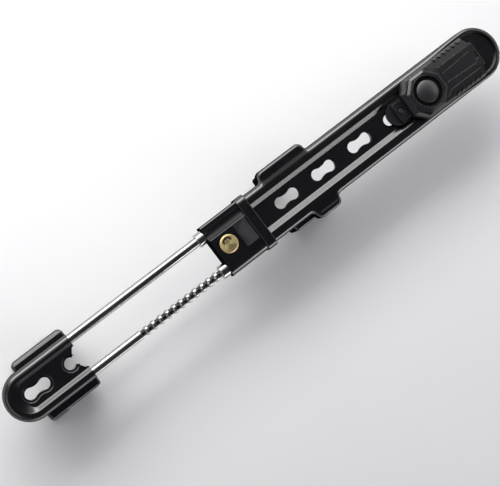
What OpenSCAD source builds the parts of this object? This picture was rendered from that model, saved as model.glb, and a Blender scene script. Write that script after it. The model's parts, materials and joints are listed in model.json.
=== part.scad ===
// Twin-rod steering wheel lock with a siren on its far end.
// X runs along the lock, with the sliding claw at -X and the siren at +X. Y runs across the two
// rods and Z is up. The lock lies on its hooks, so Z = 0 is the surface that it rests on.
// The origin is midway along the lock, with the claw in its rest place.

/* [Lengths along the lock] */
// Length of the sliding claw
claw_len = 96; // [86:1:120]
// Bare rod between the claw and the ferrules at rest
rod_exposed = 174; // [150:1:210]
// Length of a ferrule outside the housing
ferrule_len = 9.4; // [6:0.1:14]
// Length of the lock housing
housing_len = 48.9; // [46:0.1:60]
// Width of the collar band
collar_w = 12; // [8:0.1:14]
// Length of the sheath
sheath_len = 348.7; // [330:0.1:425]

/* [Rods] */
// Diameter of each rod
rod_d = 11; // [9:0.5:12]
// Distance between the two rod axes
rod_spacing = 43; // [40:0.5:46]
// Length of rod held in the claw
rod_grip = 52; // [40:1:58]
// Length of rod past the rod stop at full extension
rod_tail = 5; // [3:0.5:10]
// Diameter of a rod end stop
stop_d = 11.8; // [11.6:0.1:12.2]
// Distance from one ratchet notch to the next
notch_pitch = 9.5; // [9:0.1:11]
// Radius left at the bottom of a notch
notch_r = 3.6; // [3.2:0.1:4.2]
// Width of the flat bottom of a notch
notch_flat = 3.9; // [3.7:0.1:4.4]
// Length of the ramp out of a notch
notch_ramp = 2.8; // [2:0.1:3.4]
// Notches between the pawl at rest and the first notch
notches_out = 14; // [10:1:14]
// Notches between the pawl at rest and the last notch
notches_in = 6; // [3:1:8]

/* [Hooks] */
// Radius of the seat that the steering wheel rim lies in
seat_r = 17.5; // [15:0.5:21]
// Thickness of the finger under the rim
finger_t = 9; // [7:0.5:11]
// Thickness of the arm over the rim
arm_t = 8; // [6:0.5:10]
// Thickness of the claw's leg behind the rim
front_leg_t = 19.5; // [12:0.5:22]
// Thickness of the sheath's leg behind the rim
rear_leg_t = 13; // [12:0.5:22]
// Reach of the arms past the centre of the seat
hook_reach = 29; // [22:0.5:34]
// Radius of the bend from a hook's leg to its finger
hook_corner = 20; // [6:0.5:24]
// Distance from the middle of the lock to the inner face of a hook
hook_inner = 18; // [12:0.5:18]
// Distance from the middle to the outer face of a hook
hook_outer = 38; // [34:0.5:42]
// Reach of the right front hook's tab from the middle
tab_reach = 40; // [38:0.5:42]
// How far that tab stands past the hook's leg
tab_step = 1.8; // [1:0.1:3]

/* [Sheath] */
// Width of the sheath
sheath_w = 62.5; // [62:0.5:64]
// Height of the sheath
sheath_h = 18; // [17:0.5:20]
// Wall of the pressed shells
wall = 2.2; // [1.8:0.1:2.7]
// Radius of the outer shoulders
sheath_shoulder = 7; // [5:0.5:8]
// Half width of the flat web between the ridges
web_half = 13.4; // [12:0.1:14]
// Distance from the middle to the inner edge of a ridge's flat top
ridge_half = 19.5; // [18.5:0.1:20.5]
// Depth of the web below the ridges
web_drop = 4.5; // [3:0.1:5]
// Thickness of the back plates
back_t = 2.5; // [2:0.1:3]
// Reach of the wings over the rear hooks from the middle
wing_reach = 42; // [40:0.5:46]
// Height of the wings
wing_h = 17.5; // [12:0.5:18]
// Height of the round blend at a wing's foot
wing_foot = 8; // [4:0.5:10]
// How far short of the rear hooks' tips the wings end
wing_short = 1; // [0:0.5:4]
// Start of the long wing from the sheath's near end
wing_start = 25.5; // [18:0.1:30]
// Start of the short wing from the sheath's near end
short_wing_start = 55.2; // [40:0.1:60]
// Distance from the sheath's near end to the inner side of the rim
rear_rim_start = 42.7; // [40:0.1:52]

/* [Claw] */
// Width of the claw
claw_w = 57; // [56:0.5:60]
// Radius of the claw's outer shoulders
claw_shoulder = 7.5; // [6:0.5:8]
// Half width of the claw's flat web
claw_web_half = 14.8; // [13.5:0.1:15]
// Distance from the middle to the inner edge of the claw's ridge
claw_ridge_half = 19.4; // [19:0.1:20]
// Depth of the claw's web below its ridges
claw_drop = 3.6; // [3:0.1:4]
// Distance from the claw's inner end to the inner side of the rim
front_rim_start = 19; // [16:0.5:24]
// Depth of the open bay between the rod sockets
bay_depth = 5.5; // [4:0.5:8]
// Half width of that bay
bay_half = 13; // [12:0.5:13.5]

/* [Keyholes] */
// Radius of a keyhole's two lobes
lobe_r = 6.65; // [5:0.05:7]
// Distance between a keyhole's two lobes
lobe_spacing = 17.7; // [16:0.1:20]
// Half width of a keyhole's waist
waist_half = 4.75; // [3.5:0.05:5]
// Distance from one keyhole of the sheath to the next
keyhole_pitch = 52.7; // [48:0.1:56]
// Distance from the sheath's near end to its first keyhole
first_keyhole = 39; // [36:0.1:44]
// How much wider the keyholes of the back plate are than those of the shell
back_margin = 2.6; // [0:0.1:3]
// Number of keyholes in the sheath
keyholes = 4; // [2:1:4]
// Distance from the claw's tip to its keyhole
claw_keyhole = 39; // [34:0.5:42]
// Distance from the claw's inner end to the centre of its open notch
open_notch = 14; // [12:0.5:16]
// Half width of the open notch's mouth
mouth_half = 4.3; // [3:0.1:5]
// Wall of the rolled edge round the claw's keyhole
rolled_edge = 3.6; // [3.2:0.1:4]
// How much wider than the keyhole the mouth of its rolled edge is
lip_step = 2.1; // [1.2:0.1:2.6]
// Depth of that wider mouth
lip_depth = 3; // [1:0.5:4]

/* [Lock body] */
// Width of the housing
housing_w = 64.6; // [64:0.1:68]
// How far the housing stands past the sheath above and below
housing_proud = 1.2; // [0.5:0.1:2]
// Radius of the housing's shoulders
housing_shoulder = 9; // [7:0.5:9.5]
// Length of the housing's tongue inside the sheath
tongue_len = 17; // [12:0.5:17]
// How far the collar stands past the housing
collar_proud = 1.5; // [1:0.1:3]
// Outer diameter of a ferrule
ferrule_d = 16.2; // [15:0.1:17]
// Depth of a ferrule's seat in the housing
ferrule_seat = 4; // [3:0.5:6]
// Upper edge of the cover plate from the middle
cover_high = 14; // [13.6:0.1:14.4]
// Lower edge of the cover plate from the middle
cover_low = 23; // [22:0.1:23.2]
// Thickness of the cover plate
cover_t = 1.8; // [1.4:0.1:1.9]
// Width of the groove beside the cover plate
cover_groove = 0.9; // [0.5:0.1:1.5]
// Length of the blank plate
blank_len = 16.8; // [12:0.1:18]
// Width of the blank plate
blank_w = 28; // [20:0.5:30]
// Thickness of the blank plate
blank_t = 0.6; // [0.4:0.1:1]

/* [Key cylinder] */
// Diameter of the key plug
plug_d = 21; // [18:0.1:21.5]
// Distance of the plug's axis from the housing's near end
plug_from_end = 16.1; // [15.5:0.1:18]
// Distance of the plug's axis from the middle of the lock, away from the plain rod
plug_offset = 1; // [0:0.1:1.2]
// Wall of the cylinder barrel
barrel_wall = 2.65; // [2:0.05:2.8]
// How far the plug stands past the cover plate
plug_proud = 1; // [0.5:0.1:2]
// Thickness of the cam under the plug
cam_t = 1.8; // [1.4:0.1:2]
// Distance of the cam pin from the plug's axis
cam_throw = 1.6; // [1.4:0.05:1.7]
// Radius of the cam pin
cam_pin_r = 1.8; // [1.4:0.1:2]
// Angle that the key turns
key_turn = 90; // [90]
// Height of the pawl
pawl_h = 5.7; // [5:0.1:6]
// Width of the pawl
pawl_w = 12; // [11:0.5:13]
// Length of the pawl's body past the plug's axis
pawl_back = 8; // [7:0.5:9]
// Length of the pawl's tapered tip
pawl_tip = 3; // [2.5:0.1:3.5]
// Width of the pawl's tip
pawl_tip_w = 2.6; // [2:0.1:2.8]
// Gap between the pawl and the rod with the key turned back
pawl_gap = 0.5; // [0.4:0.05:0.7]
// Radius of the curved keyway
keyway_r = 4.7; // [4:0.1:5.5]

/* [Siren] */
// Distance from the sheath's far end to the far end of the case
case_setback = 32; // [20:1:40]
// Length of the case
case_len = 106; // [104:1:120]
// Width of the case
case_w = 52.6; // [50:0.1:54]
// Height of the case
case_h = 15.7; // [14:0.1:20]
// Wall of the case
case_wall = 2; // [1.6:0.1:2.4]
// How far the case's top edge is set in from its sides
case_slope = 3; // [2:0.1:4]
// How far the case's top edge is set in at its near end
case_nose = 4; // [3:0.5:6]
// Half width of the case's near end
nose_half = 14; // [12:0.5:16]
// Half width of the case's far end
tail_half = 11.5; // [10:0.5:16]
// Length of the corner cuts at the far end
tail_cut = 8.5; // [4:0.5:9]
// Distance from the case's near end to the button's axis
button_from_end = 26.6; // [26.5:0.1:28]
// Diameter of the alarm button
button_d = 26; // [22:0.5:26]
// Height of the button's dome
dome_h = 2.6; // [1.5:0.1:4]
// Travel of the button
button_travel = 1.8; // [1:0.1:2]
// Width of the black seal round the button
seal_w = 3.2; // [2:0.1:3.4]
// Width across the flats of the bezel
bezel_w = 46; // [44:0.5:46]
// Height of the bezel over the case
bezel_h = 2; // [1:0.1:3]
// Length of the tab in front of the case
tab_len = 25; // [20:0.5:30]
// Width of the tab
tab_w = 29; // [27:0.5:32]
// Distance from the case's near end to the tab screw
tab_screw_gap = 7; // [5:0.5:9]
// Number of grip grooves on each side of the case
grip_grooves = 6; // [3:1:7]
// Distance from one grip groove to the next
groove_pitch = 7; // [5:0.5:8]

/* [Battery bay] */
// Distance from the case's near end to the battery door
door_from_end = 52; // [51.8:0.1:52.5]
// Half width of the battery door
door_half = 13.7; // [12:0.1:14]
// Thickness of the battery door
door_t = 2.1; // [1.8:0.1:2.6]
// Travel of the battery door
door_travel = 40; // [20:1:40]
// Diameter of a battery
battery_d = 10.5; // [10.5]
// Length of a battery
battery_len = 44.5; // [44.5]

/* [Fasteners] */
// Radius of a rivet
rivet_r = 3; // [2:0.1:3.5]
// Radius of the pins that hold the rods
pin_r = 2; // [1.5:0.1:2.5]
// Radius of a screw's shank
screw_r = 2; // [1.5:0.1:2.5]

/* [Fits] */
// Radial clearance of a shaft that runs in a bore
running_gap = 0.05; // [0.02:0.01:0.08]
// Clearance between pieces that slide past each other
slide_gap = 0.3; // [0.2:0.05:0.5]
// Clearance between pieces that are fixed together
seat_gap = 0.1; // [0.05:0.05:0.2]

/* [Hidden] */
$fn = 64;

// Places along the lock
total_len = claw_len + rod_exposed + ferrule_len + housing_len + collar_w + sheath_len;
claw_x0 = -total_len / 2;
claw_x1 = claw_x0 + claw_len;
ferrule_x0 = claw_x1 + rod_exposed;
housing_x0 = ferrule_x0 + ferrule_len;
collar_x0 = housing_x0 + housing_len;
sheath_x0 = collar_x0 + collar_w;
sheath_x1 = sheath_x0 + sheath_len;

// Levels and half widths
shell_z = finger_t + 2 * seat_r + arm_t;
seat_z = finger_t + seat_r;
rod_z = shell_z + sheath_h / 2;
rod_r = rod_d / 2;
rod_y = rod_spacing / 2;
sheath_half = sheath_w / 2;
claw_half = claw_w / 2;
web_z = shell_z + sheath_h - web_drop;
claw_web_z = shell_z + sheath_h - claw_drop;
sheath_end = sheath_x1 - sheath_half;
claw_end = claw_x0 + claw_half;
plate_top = shell_z + back_t;

// Hooks
front_seat_x = claw_x1 - front_rim_start - seat_r;
rear_seat_x = sheath_x0 + rear_rim_start + seat_r;
rivet_y = (hook_inner + sheath_half) / 2;
front_rivet_y = (hook_inner + claw_half - wall) / 2;
rivet_head = 1.6;
rivet_reach = 14;

// Rods
rod_x0 = claw_x1 - rod_grip;
stroke_in = notches_out * notch_pitch;
stroke_out = notches_in * notch_pitch;
tongue_x1 = sheath_x0 + tongue_len;
stop_w = 4;
stop_x0 = tongue_x1 + stroke_out + slide_gap;
rod_x1 = stop_x0 + stop_w + rod_tail;
socket_len = rod_grip + 4;
block_x0 = rod_x1 + stroke_in + slide_gap;
block_len = 14;

// Lock body
housing_z = shell_z - housing_proud;
housing_h = sheath_h + 2 * housing_proud;
housing_top = housing_z + housing_h;
housing_half = housing_w / 2;
cover_z = housing_top - cover_t + 0.2;
cover_top = cover_z + cover_t;
plug_x = housing_x0 + plug_from_end;
plug_y = -plug_offset;
plug_r = plug_d / 2;
pawl_z = rod_z - 3.5;
pawl_top = pawl_z + pawl_h;
bore_z = pawl_top + slide_gap;
cam_z = bore_z + 0.2;
cam_r = plug_r + 0.9;
barrel_r = plug_r + running_gap + barrel_wall;
throw_y = cam_throw * cos(key_turn / 2);
pawl_end_y = -rod_y + rod_r + pawl_gap;

// Siren
case_x1 = sheath_x1 - case_setback;
case_x0 = case_x1 - case_len;
case_half = case_w / 2;
base_z = shell_z + sheath_h + slide_gap;
floor_t = 2;
floor_z = base_z + floor_t;
case_top = base_z + case_h;
button_x = case_x0 + button_from_end;
button_r = button_d / 2;
seal_r = button_r + seal_w + slide_gap;
button_z = case_top - case_wall - 4;
board_t = 1.6;
board_half = case_half - case_wall - 1;
board_back = 13.5;
board_front = 21;
switch_h = 2;
board_z = button_z - button_travel - switch_h - board_t - 0.1;
sounder_r = 11.5;
sounder_h = 7;
tab_screw_x = case_x0 - tab_screw_gap;
door_x0 = case_x0 + door_from_end;
door_x1 = case_x1 - case_slope;
rail_half = door_half + 1.5;
rail_t = 1.4;
door_z = case_top - door_t;
battery_x0 = door_x0 + 1.4;
battery_z = floor_z + battery_d / 2 + seat_gap;
battery_y = battery_d / 2 + 0.3;
contact_t = 0.6;
contact_x = [battery_x0 - seat_gap - contact_t, battery_x0 + battery_len + seat_gap];

// ---- shared shapes ----

// Stands a profile up across the lock and draws it out along X
module along_x(x0, x1) {
    translate([x0, 0, 0]) rotate([90, 0, 90]) linear_extrude(x1 - x0) children();
}

// Turns half a profile round the end of a shell, towards +X (side 1) or -X (side -1)
module round_end(x, side) {
    translate([x, 0, 0]) rotate([0, 0, -90 * side]) rotate_extrude(angle = 180) children();
}

// Sizes of a pressed section, as [half width, height, shoulder, web, ridge, drop]
sheath_section = [sheath_half, sheath_h, sheath_shoulder, web_half, ridge_half, web_drop];
claw_section = [claw_half, sheath_h, claw_shoulder, claw_web_half, claw_ridge_half, claw_drop];

// The same section, set in by a wall
function inset(s, by) =
    let (shift = by * tan(atan2(s[5], s[4] - s[3]) / 2))
    [s[0] - by, s[1] - by, s[2] - by, s[3] + shift, s[4] + shift, s[5]];

// One side of the section, from its foot to its web
function section_side(s, foot) = [
    [s[0], foot],
    [s[0], s[1] - s[2]],
    [s[0] - s[2], s[1]],
    [s[4], s[1]],
    [s[3], s[1] - s[5]]
];

module section(s, foot = 0) {
    side = section_side(s, foot);
    polygon(concat(side, [for (i = [len(side) - 1:-1:0]) [-side[i][0], side[i][1]]]));
    for (y = [-1, 1]) translate([y * (s[0] - s[2]), s[1] - s[2]]) circle(s[2]);
}

module half_section(s, foot = 0) {
    polygon(concat([[0, foot]], section_side(s, foot), [[0, s[1] - s[5]]]));
    translate([s[0] - s[2], s[1] - s[2]]) circle(s[2]);
}

// Twin-lobed keyhole, grown by a margin
module keyhole(grow = 0) {
    a = lobe_spacing / 2;
    r = lobe_r + grow;
    w = waist_half + grow;
    waist_r = (a * a + w * w - r * r) / (2 * (r - w));
    touch = waist_r / (r + waist_r);
    for (x = [-a, a]) translate([x, 0]) circle(r);
    difference() {
        square([2 * a * touch, 2 * (w + waist_r) * (1 - touch)], center = true);
        for (y = [-1, 1]) translate([0, y * (w + waist_r)]) circle(waist_r);
    }
}

module sheath_keyholes(grow = 0) {
    for (i = [0:keyholes - 1])
        translate([sheath_x0 + first_keyhole + i * keyhole_pitch, 0, shell_z - 1])
            linear_extrude(sheath_h + 2) keyhole(grow);
}

// Plan of a wing with round outer corners
module wing_plan(x0, x1, corner) {
    root = sheath_half - sheath_shoulder;
    translate([x0 + corner, root]) square([x1 - x0 - 2 * corner, wing_reach - root]);
    translate([x0, root]) square([x1 - x0, wing_reach - root - corner]);
    for (x = [x0 + corner, x1 - corner]) translate([x, wing_reach - corner]) circle(corner);
}

// A wing on the shell's side, with a round blend at each end of its foot
module wing(x0, x1, corner, blend) {
    linear_extrude(wing_h) wing_plan(x0, x1, corner);
    linear_extrude(wing_foot)
        difference() {
            translate([x0 - blend, sheath_half - wall]) square([x1 - x0 + 2 * blend, wall + blend]);
            for (x = [x0 - blend, x1 + blend]) translate([x, sheath_half + blend]) circle(blend);
        }
}

// Side view of a hook with its mouth towards +x and the seat's centre at the origin
module hook_profile(leg_t) {
    low = -seat_r - finger_t;
    high = seat_r + arm_t;
    back = -seat_r - leg_t;
    difference() {
        union() {
            translate([back, low + hook_corner]) square([-back, high - low - hook_corner]);
            translate([back + hook_corner, low]) square([-back - hook_corner, finger_t]);
            translate([back + hook_corner, low + hook_corner]) circle(hook_corner);
            translate([0, seat_r]) square([hook_reach - arm_t / 2, arm_t]);
            translate([hook_reach - arm_t / 2, seat_r + arm_t / 2]) circle(arm_t / 2);
            translate([0, low]) square([hook_reach - finger_t / 2, finger_t]);
            translate([hook_reach - finger_t / 2, low + finger_t / 2]) circle(finger_t / 2);
        }
        circle(seat_r);
        translate([0, -seat_r]) square([hook_reach + 1, 2 * seat_r]);
    }
}

// A hook between two distances from the middle; mouth is 1 towards +X, -1 towards -X
module hook(seat_x, mouth, leg_t, y0, y1, rivet_row) {
    difference() {
        translate([seat_x, y1, seat_z])
            rotate([90, 0, 0])
                linear_extrude(y1 - y0)
                    mirror([mouth > 0 ? 0 : 1, 0]) hook_profile(leg_t);
        for (x = rivets_of(seat_x, mouth, leg_t)) translate([x, rivet_row, 0]) rivet_shape(seat_gap);
    }
}

// A flush rivet through a hook's arm and the plate above it, grown by a margin
module rivet_shape(grow = 0) {
    bottom = shell_z - arm_t;
    translate([0, 0, bottom]) cylinder(r = rivet_r + grow, h = arm_t + back_t);
    translate([0, 0, bottom])
        cylinder(r1 = rivet_r + rivet_head + grow, r2 = rivet_r + grow, h = rivet_head);
}

// Places of a hook's two rivets along the lock
function rivets_of(seat_x, mouth, leg_t) =
    [seat_x - mouth * (seat_r + leg_t / 2), seat_x + mouth * rivet_reach];

// ---- sheath ----

module sheath_shell() {
    color("#1b1c1f")
    difference() {
        union() {
            translate([0, 0, shell_z]) {
                along_x(sheath_x0, sheath_end) section(sheath_section);
                round_end(sheath_end, 1) half_section(sheath_section);
            }
            wing_end = rear_seat_x + hook_reach - wing_short;
            translate([0, 0, shell_z]) {
                wing(sheath_x0 + wing_start, wing_end, 6, 4);
                mirror([0, 1, 0]) wing(sheath_x0 + short_wing_start, wing_end, 4, 5);
            }
        }
        cavity = inset(sheath_section, wall);
        translate([0, 0, shell_z]) {
            along_x(sheath_x0 - 1, sheath_end) section(cavity, -1);
            round_end(sheath_end, 1) half_section(cavity, -1);
        }
        sheath_keyholes();
        translate([tab_screw_x, 0, shell_z]) cylinder(r = screw_r + seat_gap, h = sheath_h);
    }
}

module sheath_back() {
    half = sheath_half - wall - seat_gap;
    color("#202124")
    difference() {
        translate([0, 0, shell_z]) {
            translate([sheath_x0, -half, 0]) cube([sheath_end - sheath_x0, 2 * half, back_t]);
            translate([sheath_end, 0, 0]) cylinder(r = half, h = back_t);
        }
        sheath_keyholes(back_margin);
        rear_rivet_places() rivet_shape(seat_gap);
        housing_rivet_places() cylinder(r = rivet_r + seat_gap, h = sheath_h);
    }
}

module rear_hook_left() {
    color("#17181a") hook(rear_seat_x, 1, rear_leg_t, hook_inner, hook_outer, rivet_y);
}

module rear_hook_right() {
    color("#17181a") hook(rear_seat_x, 1, rear_leg_t, -hook_outer, -hook_inner, -rivet_y);
}

module rear_rivet_places() {
    for (x = rivets_of(rear_seat_x, 1, rear_leg_t), y = [-rivet_y, rivet_y])
        translate([x, y, 0]) children();
}

module rear_rivets() {
    color("#3a3b3e") rear_rivet_places() rivet_shape();
}

// Solid block in the sheath that the rods meet when they are pushed fully in
module stop_block() {
    s = inset(sheath_section, wall + seat_gap);
    color("#4a4b4e")
    difference() {
        union() {
            translate([0, 0, shell_z])
                along_x(block_x0, block_x0 + block_len) section(s, back_t + seat_gap);
            strip_x0 = min(block_x0 + 1, tab_screw_x - 8);
            strip_x1 = max(block_x0 + 1, tab_screw_x + 8);
            translate([strip_x0, -10, plate_top + seat_gap])
                cube([strip_x1 - strip_x0, 20, web_z - wall - plate_top - 2 * seat_gap]);
        }
        translate([tab_screw_x, 0, shell_z]) cylinder(r = screw_r + seat_gap, h = sheath_h);
    }
}

// ---- lock body ----

module housing_rivet_places() {
    for (y = [-9, 9]) translate([(sheath_x0 + tongue_x1) / 2, y, shell_z]) children();
}

module rod_bores(x0, x1, r) {
    for (y = [-rod_y, rod_y]) translate([x0, y, rod_z]) rotate([0, 90, 0]) cylinder(r = r, h = x1 - x0);
}

module housing_section() {
    r = housing_shoulder;
    crown = housing_half - r;
    slope_end = cover_high + cover_groove;
    translate([0, housing_z])
        polygon([
            [-housing_half, 0], [housing_half, 0], [housing_half, housing_h - r],
            [crown, housing_h], [slope_end, housing_h - 2.6],
            [cover_high, housing_h - 2.6], [cover_high, housing_h - 0.4],
            [-cover_low, housing_h - 0.4], [-cover_low, housing_h],
            [-crown, housing_h], [-housing_half, housing_h - r]
        ]);
    for (y = [-1, 1]) translate([y * crown, housing_z + housing_h - r]) circle(r);
}

module lock_housing() {
    s = inset(sheath_section, wall + seat_gap);
    color("#1d1e20")
    difference() {
        union() {
            along_x(housing_x0, collar_x0) housing_section();
            translate([0, 0, shell_z])
                along_x(collar_x0, tongue_x1) section(s, back_t + seat_gap);
        }
        // Recess of the cover plate
        translate([housing_x0 + 1.2, -cover_low, cover_z])
            cube([housing_len, cover_low + cover_high + cover_groove, 10]);
        // Bore of the cylinder barrel, and the pawl's way to the notched rod
        translate([plug_x, plug_y, bore_z]) cylinder(r = barrel_r + seat_gap, h = sheath_h);
        translate([plug_x - pawl_w / 2 - slide_gap, -rod_y, pawl_z - slide_gap])
            cube([pawl_w + 2 * slide_gap, rod_y + plug_y + pawl_back + throw_y + slide_gap,
                  pawl_h + 2 * slide_gap]);
        rod_bores(housing_x0 - 1, tongue_x1 + 1, rod_r + running_gap);
        rod_bores(housing_x0 - 1, housing_x0 + ferrule_seat, ferrule_d / 2 + seat_gap);
        housing_rivet_places() cylinder(r = rivet_r + seat_gap, h = back_t + 6);
    }
}

module housing_rivets() {
    color("#3a3b3e") housing_rivet_places() cylinder(r = rivet_r, h = back_t + 5);
}

module collar_band() {
    half = housing_half + collar_proud;
    r = housing_shoulder - 1;
    low = housing_z - collar_proud;
    high = housing_top + collar_proud;
    color("#141517")
    difference() {
        along_x(collar_x0, sheath_x0) {
            for (y = [-1, 1], z = [low + 3, high - r]) {
                round = z > rod_z ? r : 3;
                translate([y * (half - round), z]) circle(round);
            }
            translate([-half + r, low]) square([2 * (half - r), high - low]);
            translate([-half, low + 3]) square([2 * half, high - low - 3 - r]);
            translate([-half + 3, low]) square([2 * (half - 3), 4]);
        }
        translate([0, 0, shell_z])
            along_x(collar_x0 - 1, sheath_x0 + 1) section(inset(sheath_section, wall), back_t);
    }
}

module ferrules() {
    color("#8f9195")
    difference() {
        rod_bores(ferrule_x0, housing_x0 + ferrule_seat - seat_gap, ferrule_d / 2);
        rod_bores(ferrule_x0 - 1, housing_x0 + ferrule_seat + 1, rod_r + running_gap);
    }
}

module lock_cover() {
    x0 = housing_x0 + 1.2 + seat_gap;
    color("#0e0f10")
    difference() {
        translate([x0, -cover_low + seat_gap, cover_z])
            cube([collar_x0 - x0, cover_low + cover_high - seat_gap, cover_t]);
        translate([plug_x, plug_y, cover_z - 1]) cylinder(r = plug_r + slide_gap, h = cover_t + 2);
        translate([collar_x0 - 1.4 - blank_len, -blank_w / 2 - 2, cover_top - blank_t / 2])
            cube([blank_len, blank_w, blank_t]);
    }
}

module blank_plate() {
    color("#3b3d41")
        translate([collar_x0 - 1.4 - blank_len + seat_gap, -blank_w / 2 - 2 + seat_gap,
                   cover_top - blank_t / 2])
            cube([blank_len - 2 * seat_gap, blank_w - 2 * seat_gap, blank_t]);
}

// ---- key cylinder ----

module cylinder_barrel() {
    color("#b7b9bd")
    difference() {
        translate([plug_x, plug_y, bore_z]) cylinder(r = barrel_r, h = cover_z - bore_z);
        translate([plug_x, plug_y, bore_z - 1]) cylinder(r = plug_r + running_gap, h = sheath_h);
        translate([plug_x, plug_y, bore_z - 1])
            cylinder(r = cam_r + slide_gap, h = 1 + cam_z - bore_z + cam_t + seat_gap);
    }
}

module key_plug() {
    top = cover_top + plug_proud;
    edge = 0.8;
    base = cam_z + cam_t;
    color("#c9a95a")
    difference() {
        translate([plug_x, plug_y, 0])
            rotate_extrude()
                polygon([[0, base], [plug_r, base], [plug_r, top - edge], [plug_r - edge, top],
                         [0, top]]);
        translate([plug_x, plug_y + 2.2, top - 3])
            rotate([0, 0, 10])
                rotate_extrude(angle = 160) translate([keyway_r - 0.8, 0]) square([1.6, 4]);
        translate([plug_x - 0.5, plug_y + 2.2 + keyway_r - 2.4, top - 3]) cube([1, 2.4, 4]);
    }
}

module plug_cam() {
    color("#9a8a5a") {
        translate([plug_x, plug_y, cam_z]) cylinder(r = cam_r, h = cam_t);
        translate([plug_x, plug_y, pawl_z + 1])
            rotate([0, 0, 180 - key_turn / 2])
                translate([cam_throw, 0, 0]) cylinder(r = cam_pin_r, h = cam_z - pawl_z);
    }
}

module pawl() {
    back_y = plug_y + pawl_back;
    neck_y = pawl_end_y + pawl_tip;
    half = pawl_w / 2;
    reach = cam_throw + cam_pin_r + slide_gap;
    color("#a7a9ad")
    difference() {
        translate([plug_x, 0, pawl_z])
            linear_extrude(pawl_h)
                polygon([
                    [-half, neck_y], [-pawl_tip_w / 2, neck_y], [-pawl_tip_w / 2, pawl_end_y],
                    [pawl_tip_w / 2, pawl_end_y], [pawl_tip_w / 2 + pawl_tip * 0.55, neck_y],
                    [half, neck_y], [half, back_y], [-half, back_y]
                ]);
        translate([plug_x - reach, plug_y + throw_y - cam_pin_r - 0.2, pawl_z + 0.8])
            cube([reach + 1 + cam_pin_r, 2 * cam_pin_r + 0.4, pawl_h]);
    }
}

// ---- claw ----

// Bay and open notch between the rod sockets
module claw_bay() {
    slant = 3;
    notch_x = claw_x1 - open_notch;
    translate([notch_x, 0]) circle(lobe_r);
    translate([notch_x, -mouth_half]) square([open_notch + 1, 2 * mouth_half]);
    polygon([
        [claw_x1 + 1, -bay_half - 1], [claw_x1 + 1, bay_half + 1],
        [claw_x1 - bay_depth + slant, bay_half], [claw_x1 - bay_depth - slant, mouth_half],
        [claw_x1 - bay_depth - slant, -mouth_half], [claw_x1 - bay_depth + slant, -bay_half]
    ]);
}

module claw_shell() {
    cavity = inset(claw_section, wall);
    keyhole_x = claw_x0 + claw_keyhole;
    notch_x = claw_x1 - open_notch;
    color("#1b1c1f")
    difference() {
        union() {
            difference() {
                translate([0, 0, shell_z]) {
                    along_x(claw_end, claw_x1) section(claw_section);
                    round_end(claw_end, -1) half_section(claw_section);
                }
                translate([0, 0, shell_z]) {
                    along_x(claw_end, claw_x1 + 1) section(cavity, -1);
                    round_end(claw_end, -1) half_section(cavity, -1);
                }
            }
            translate([keyhole_x, 0, plate_top + seat_gap])
                linear_extrude(sheath_h - claw_drop - back_t - seat_gap) keyhole(rolled_edge);
            translate([notch_x, 0, plate_top + seat_gap])
                cylinder(r = lobe_r + rolled_edge, h = sheath_h - claw_drop - back_t - seat_gap);
        }
        translate([keyhole_x, 0, shell_z - 1]) linear_extrude(sheath_h + 2) keyhole();
        translate([keyhole_x, 0, claw_web_z - lip_depth]) linear_extrude(lip_depth + 1) keyhole(lip_step);
        translate([notch_x, 0, claw_web_z - lip_depth]) cylinder(r = lobe_r + lip_step, h = lip_depth + 1);
        translate([0, 0, shell_z - 1]) linear_extrude(sheath_h + 2) claw_bay();
        rod_bores(rod_x0 - seat_gap, claw_x1 + 1, rod_r + seat_gap);
    }
}

module claw_back() {
    half = claw_half - wall - seat_gap;
    color("#202124")
    difference() {
        translate([0, 0, shell_z]) {
            translate([claw_end, -half, 0]) cube([claw_x1 - claw_end, 2 * half, back_t]);
            translate([claw_end, 0, 0]) cylinder(r = half, h = back_t);
        }
        translate([claw_x0 + claw_keyhole, 0, shell_z - 1]) linear_extrude(back_t + 2) keyhole();
        translate([0, 0, shell_z - 1]) linear_extrude(back_t + 2) claw_bay();
        front_rivet_places() rivet_shape(seat_gap);
    }
}

module front_hook_left() {
    color("#17181a")
        hook(front_seat_x, -1, front_leg_t, hook_inner, hook_outer, front_rivet_y);
}

// The right hook has an outer tab that stands a little wider than its leg
module front_hook_right() {
    color("#17181a")
    difference() {
        hook(front_seat_x, -1, front_leg_t, -tab_reach, -hook_inner, -front_rivet_y);
        translate([front_seat_x - 3, -tab_reach - 1, -1])
            cube([seat_r + front_leg_t + 5, tab_step + 1, shell_z + 2]);
        translate([front_seat_x - 4.2, -tab_reach - 1, shell_z - 3])
            cube([1.2, tab_reach + 1 - claw_half, 4]);
    }
}

module front_rivet_places() {
    for (x = rivets_of(front_seat_x, -1, front_leg_t), y = [-front_rivet_y, front_rivet_y])
        translate([x, y, 0]) children();
}

module front_rivets() {
    color("#3a3b3e") front_rivet_places() rivet_shape();
}

// Blocks inside the claw's ridges that hold the ends of the rods
module rod_sockets() {
    s = inset(claw_section, wall + seat_gap);
    color("#4a4b4e")
    difference() {
        intersection() {
            translate([0, 0, shell_z])
                along_x(claw_x1 - socket_len, claw_x1) section(s, back_t + seat_gap);
            for (y = [-1, 1])
                translate([claw_x1 - socket_len, y > 0 ? bay_half + 1.2 : -40, shell_z])
                    cube([socket_len, 40 - bay_half - 1.2, sheath_h]);
        }
        rod_bores(rod_x0 - seat_gap, claw_x1 + 1, rod_r + running_gap);
        socket_pin_places() cylinder(r = pin_r + seat_gap, h = sheath_h);
    }
}

module socket_pin_places() {
    for (x = [claw_x1 - rod_grip * 0.25, claw_x1 - rod_grip * 0.75], y = [-rod_y, rod_y])
        translate([x, y, plate_top + 2 * seat_gap]) children();
}

module socket_pins() {
    color("#6c6e72") socket_pin_places() cylinder(r = pin_r, h = 2 * (rod_z - plate_top) - 1);
}

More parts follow.
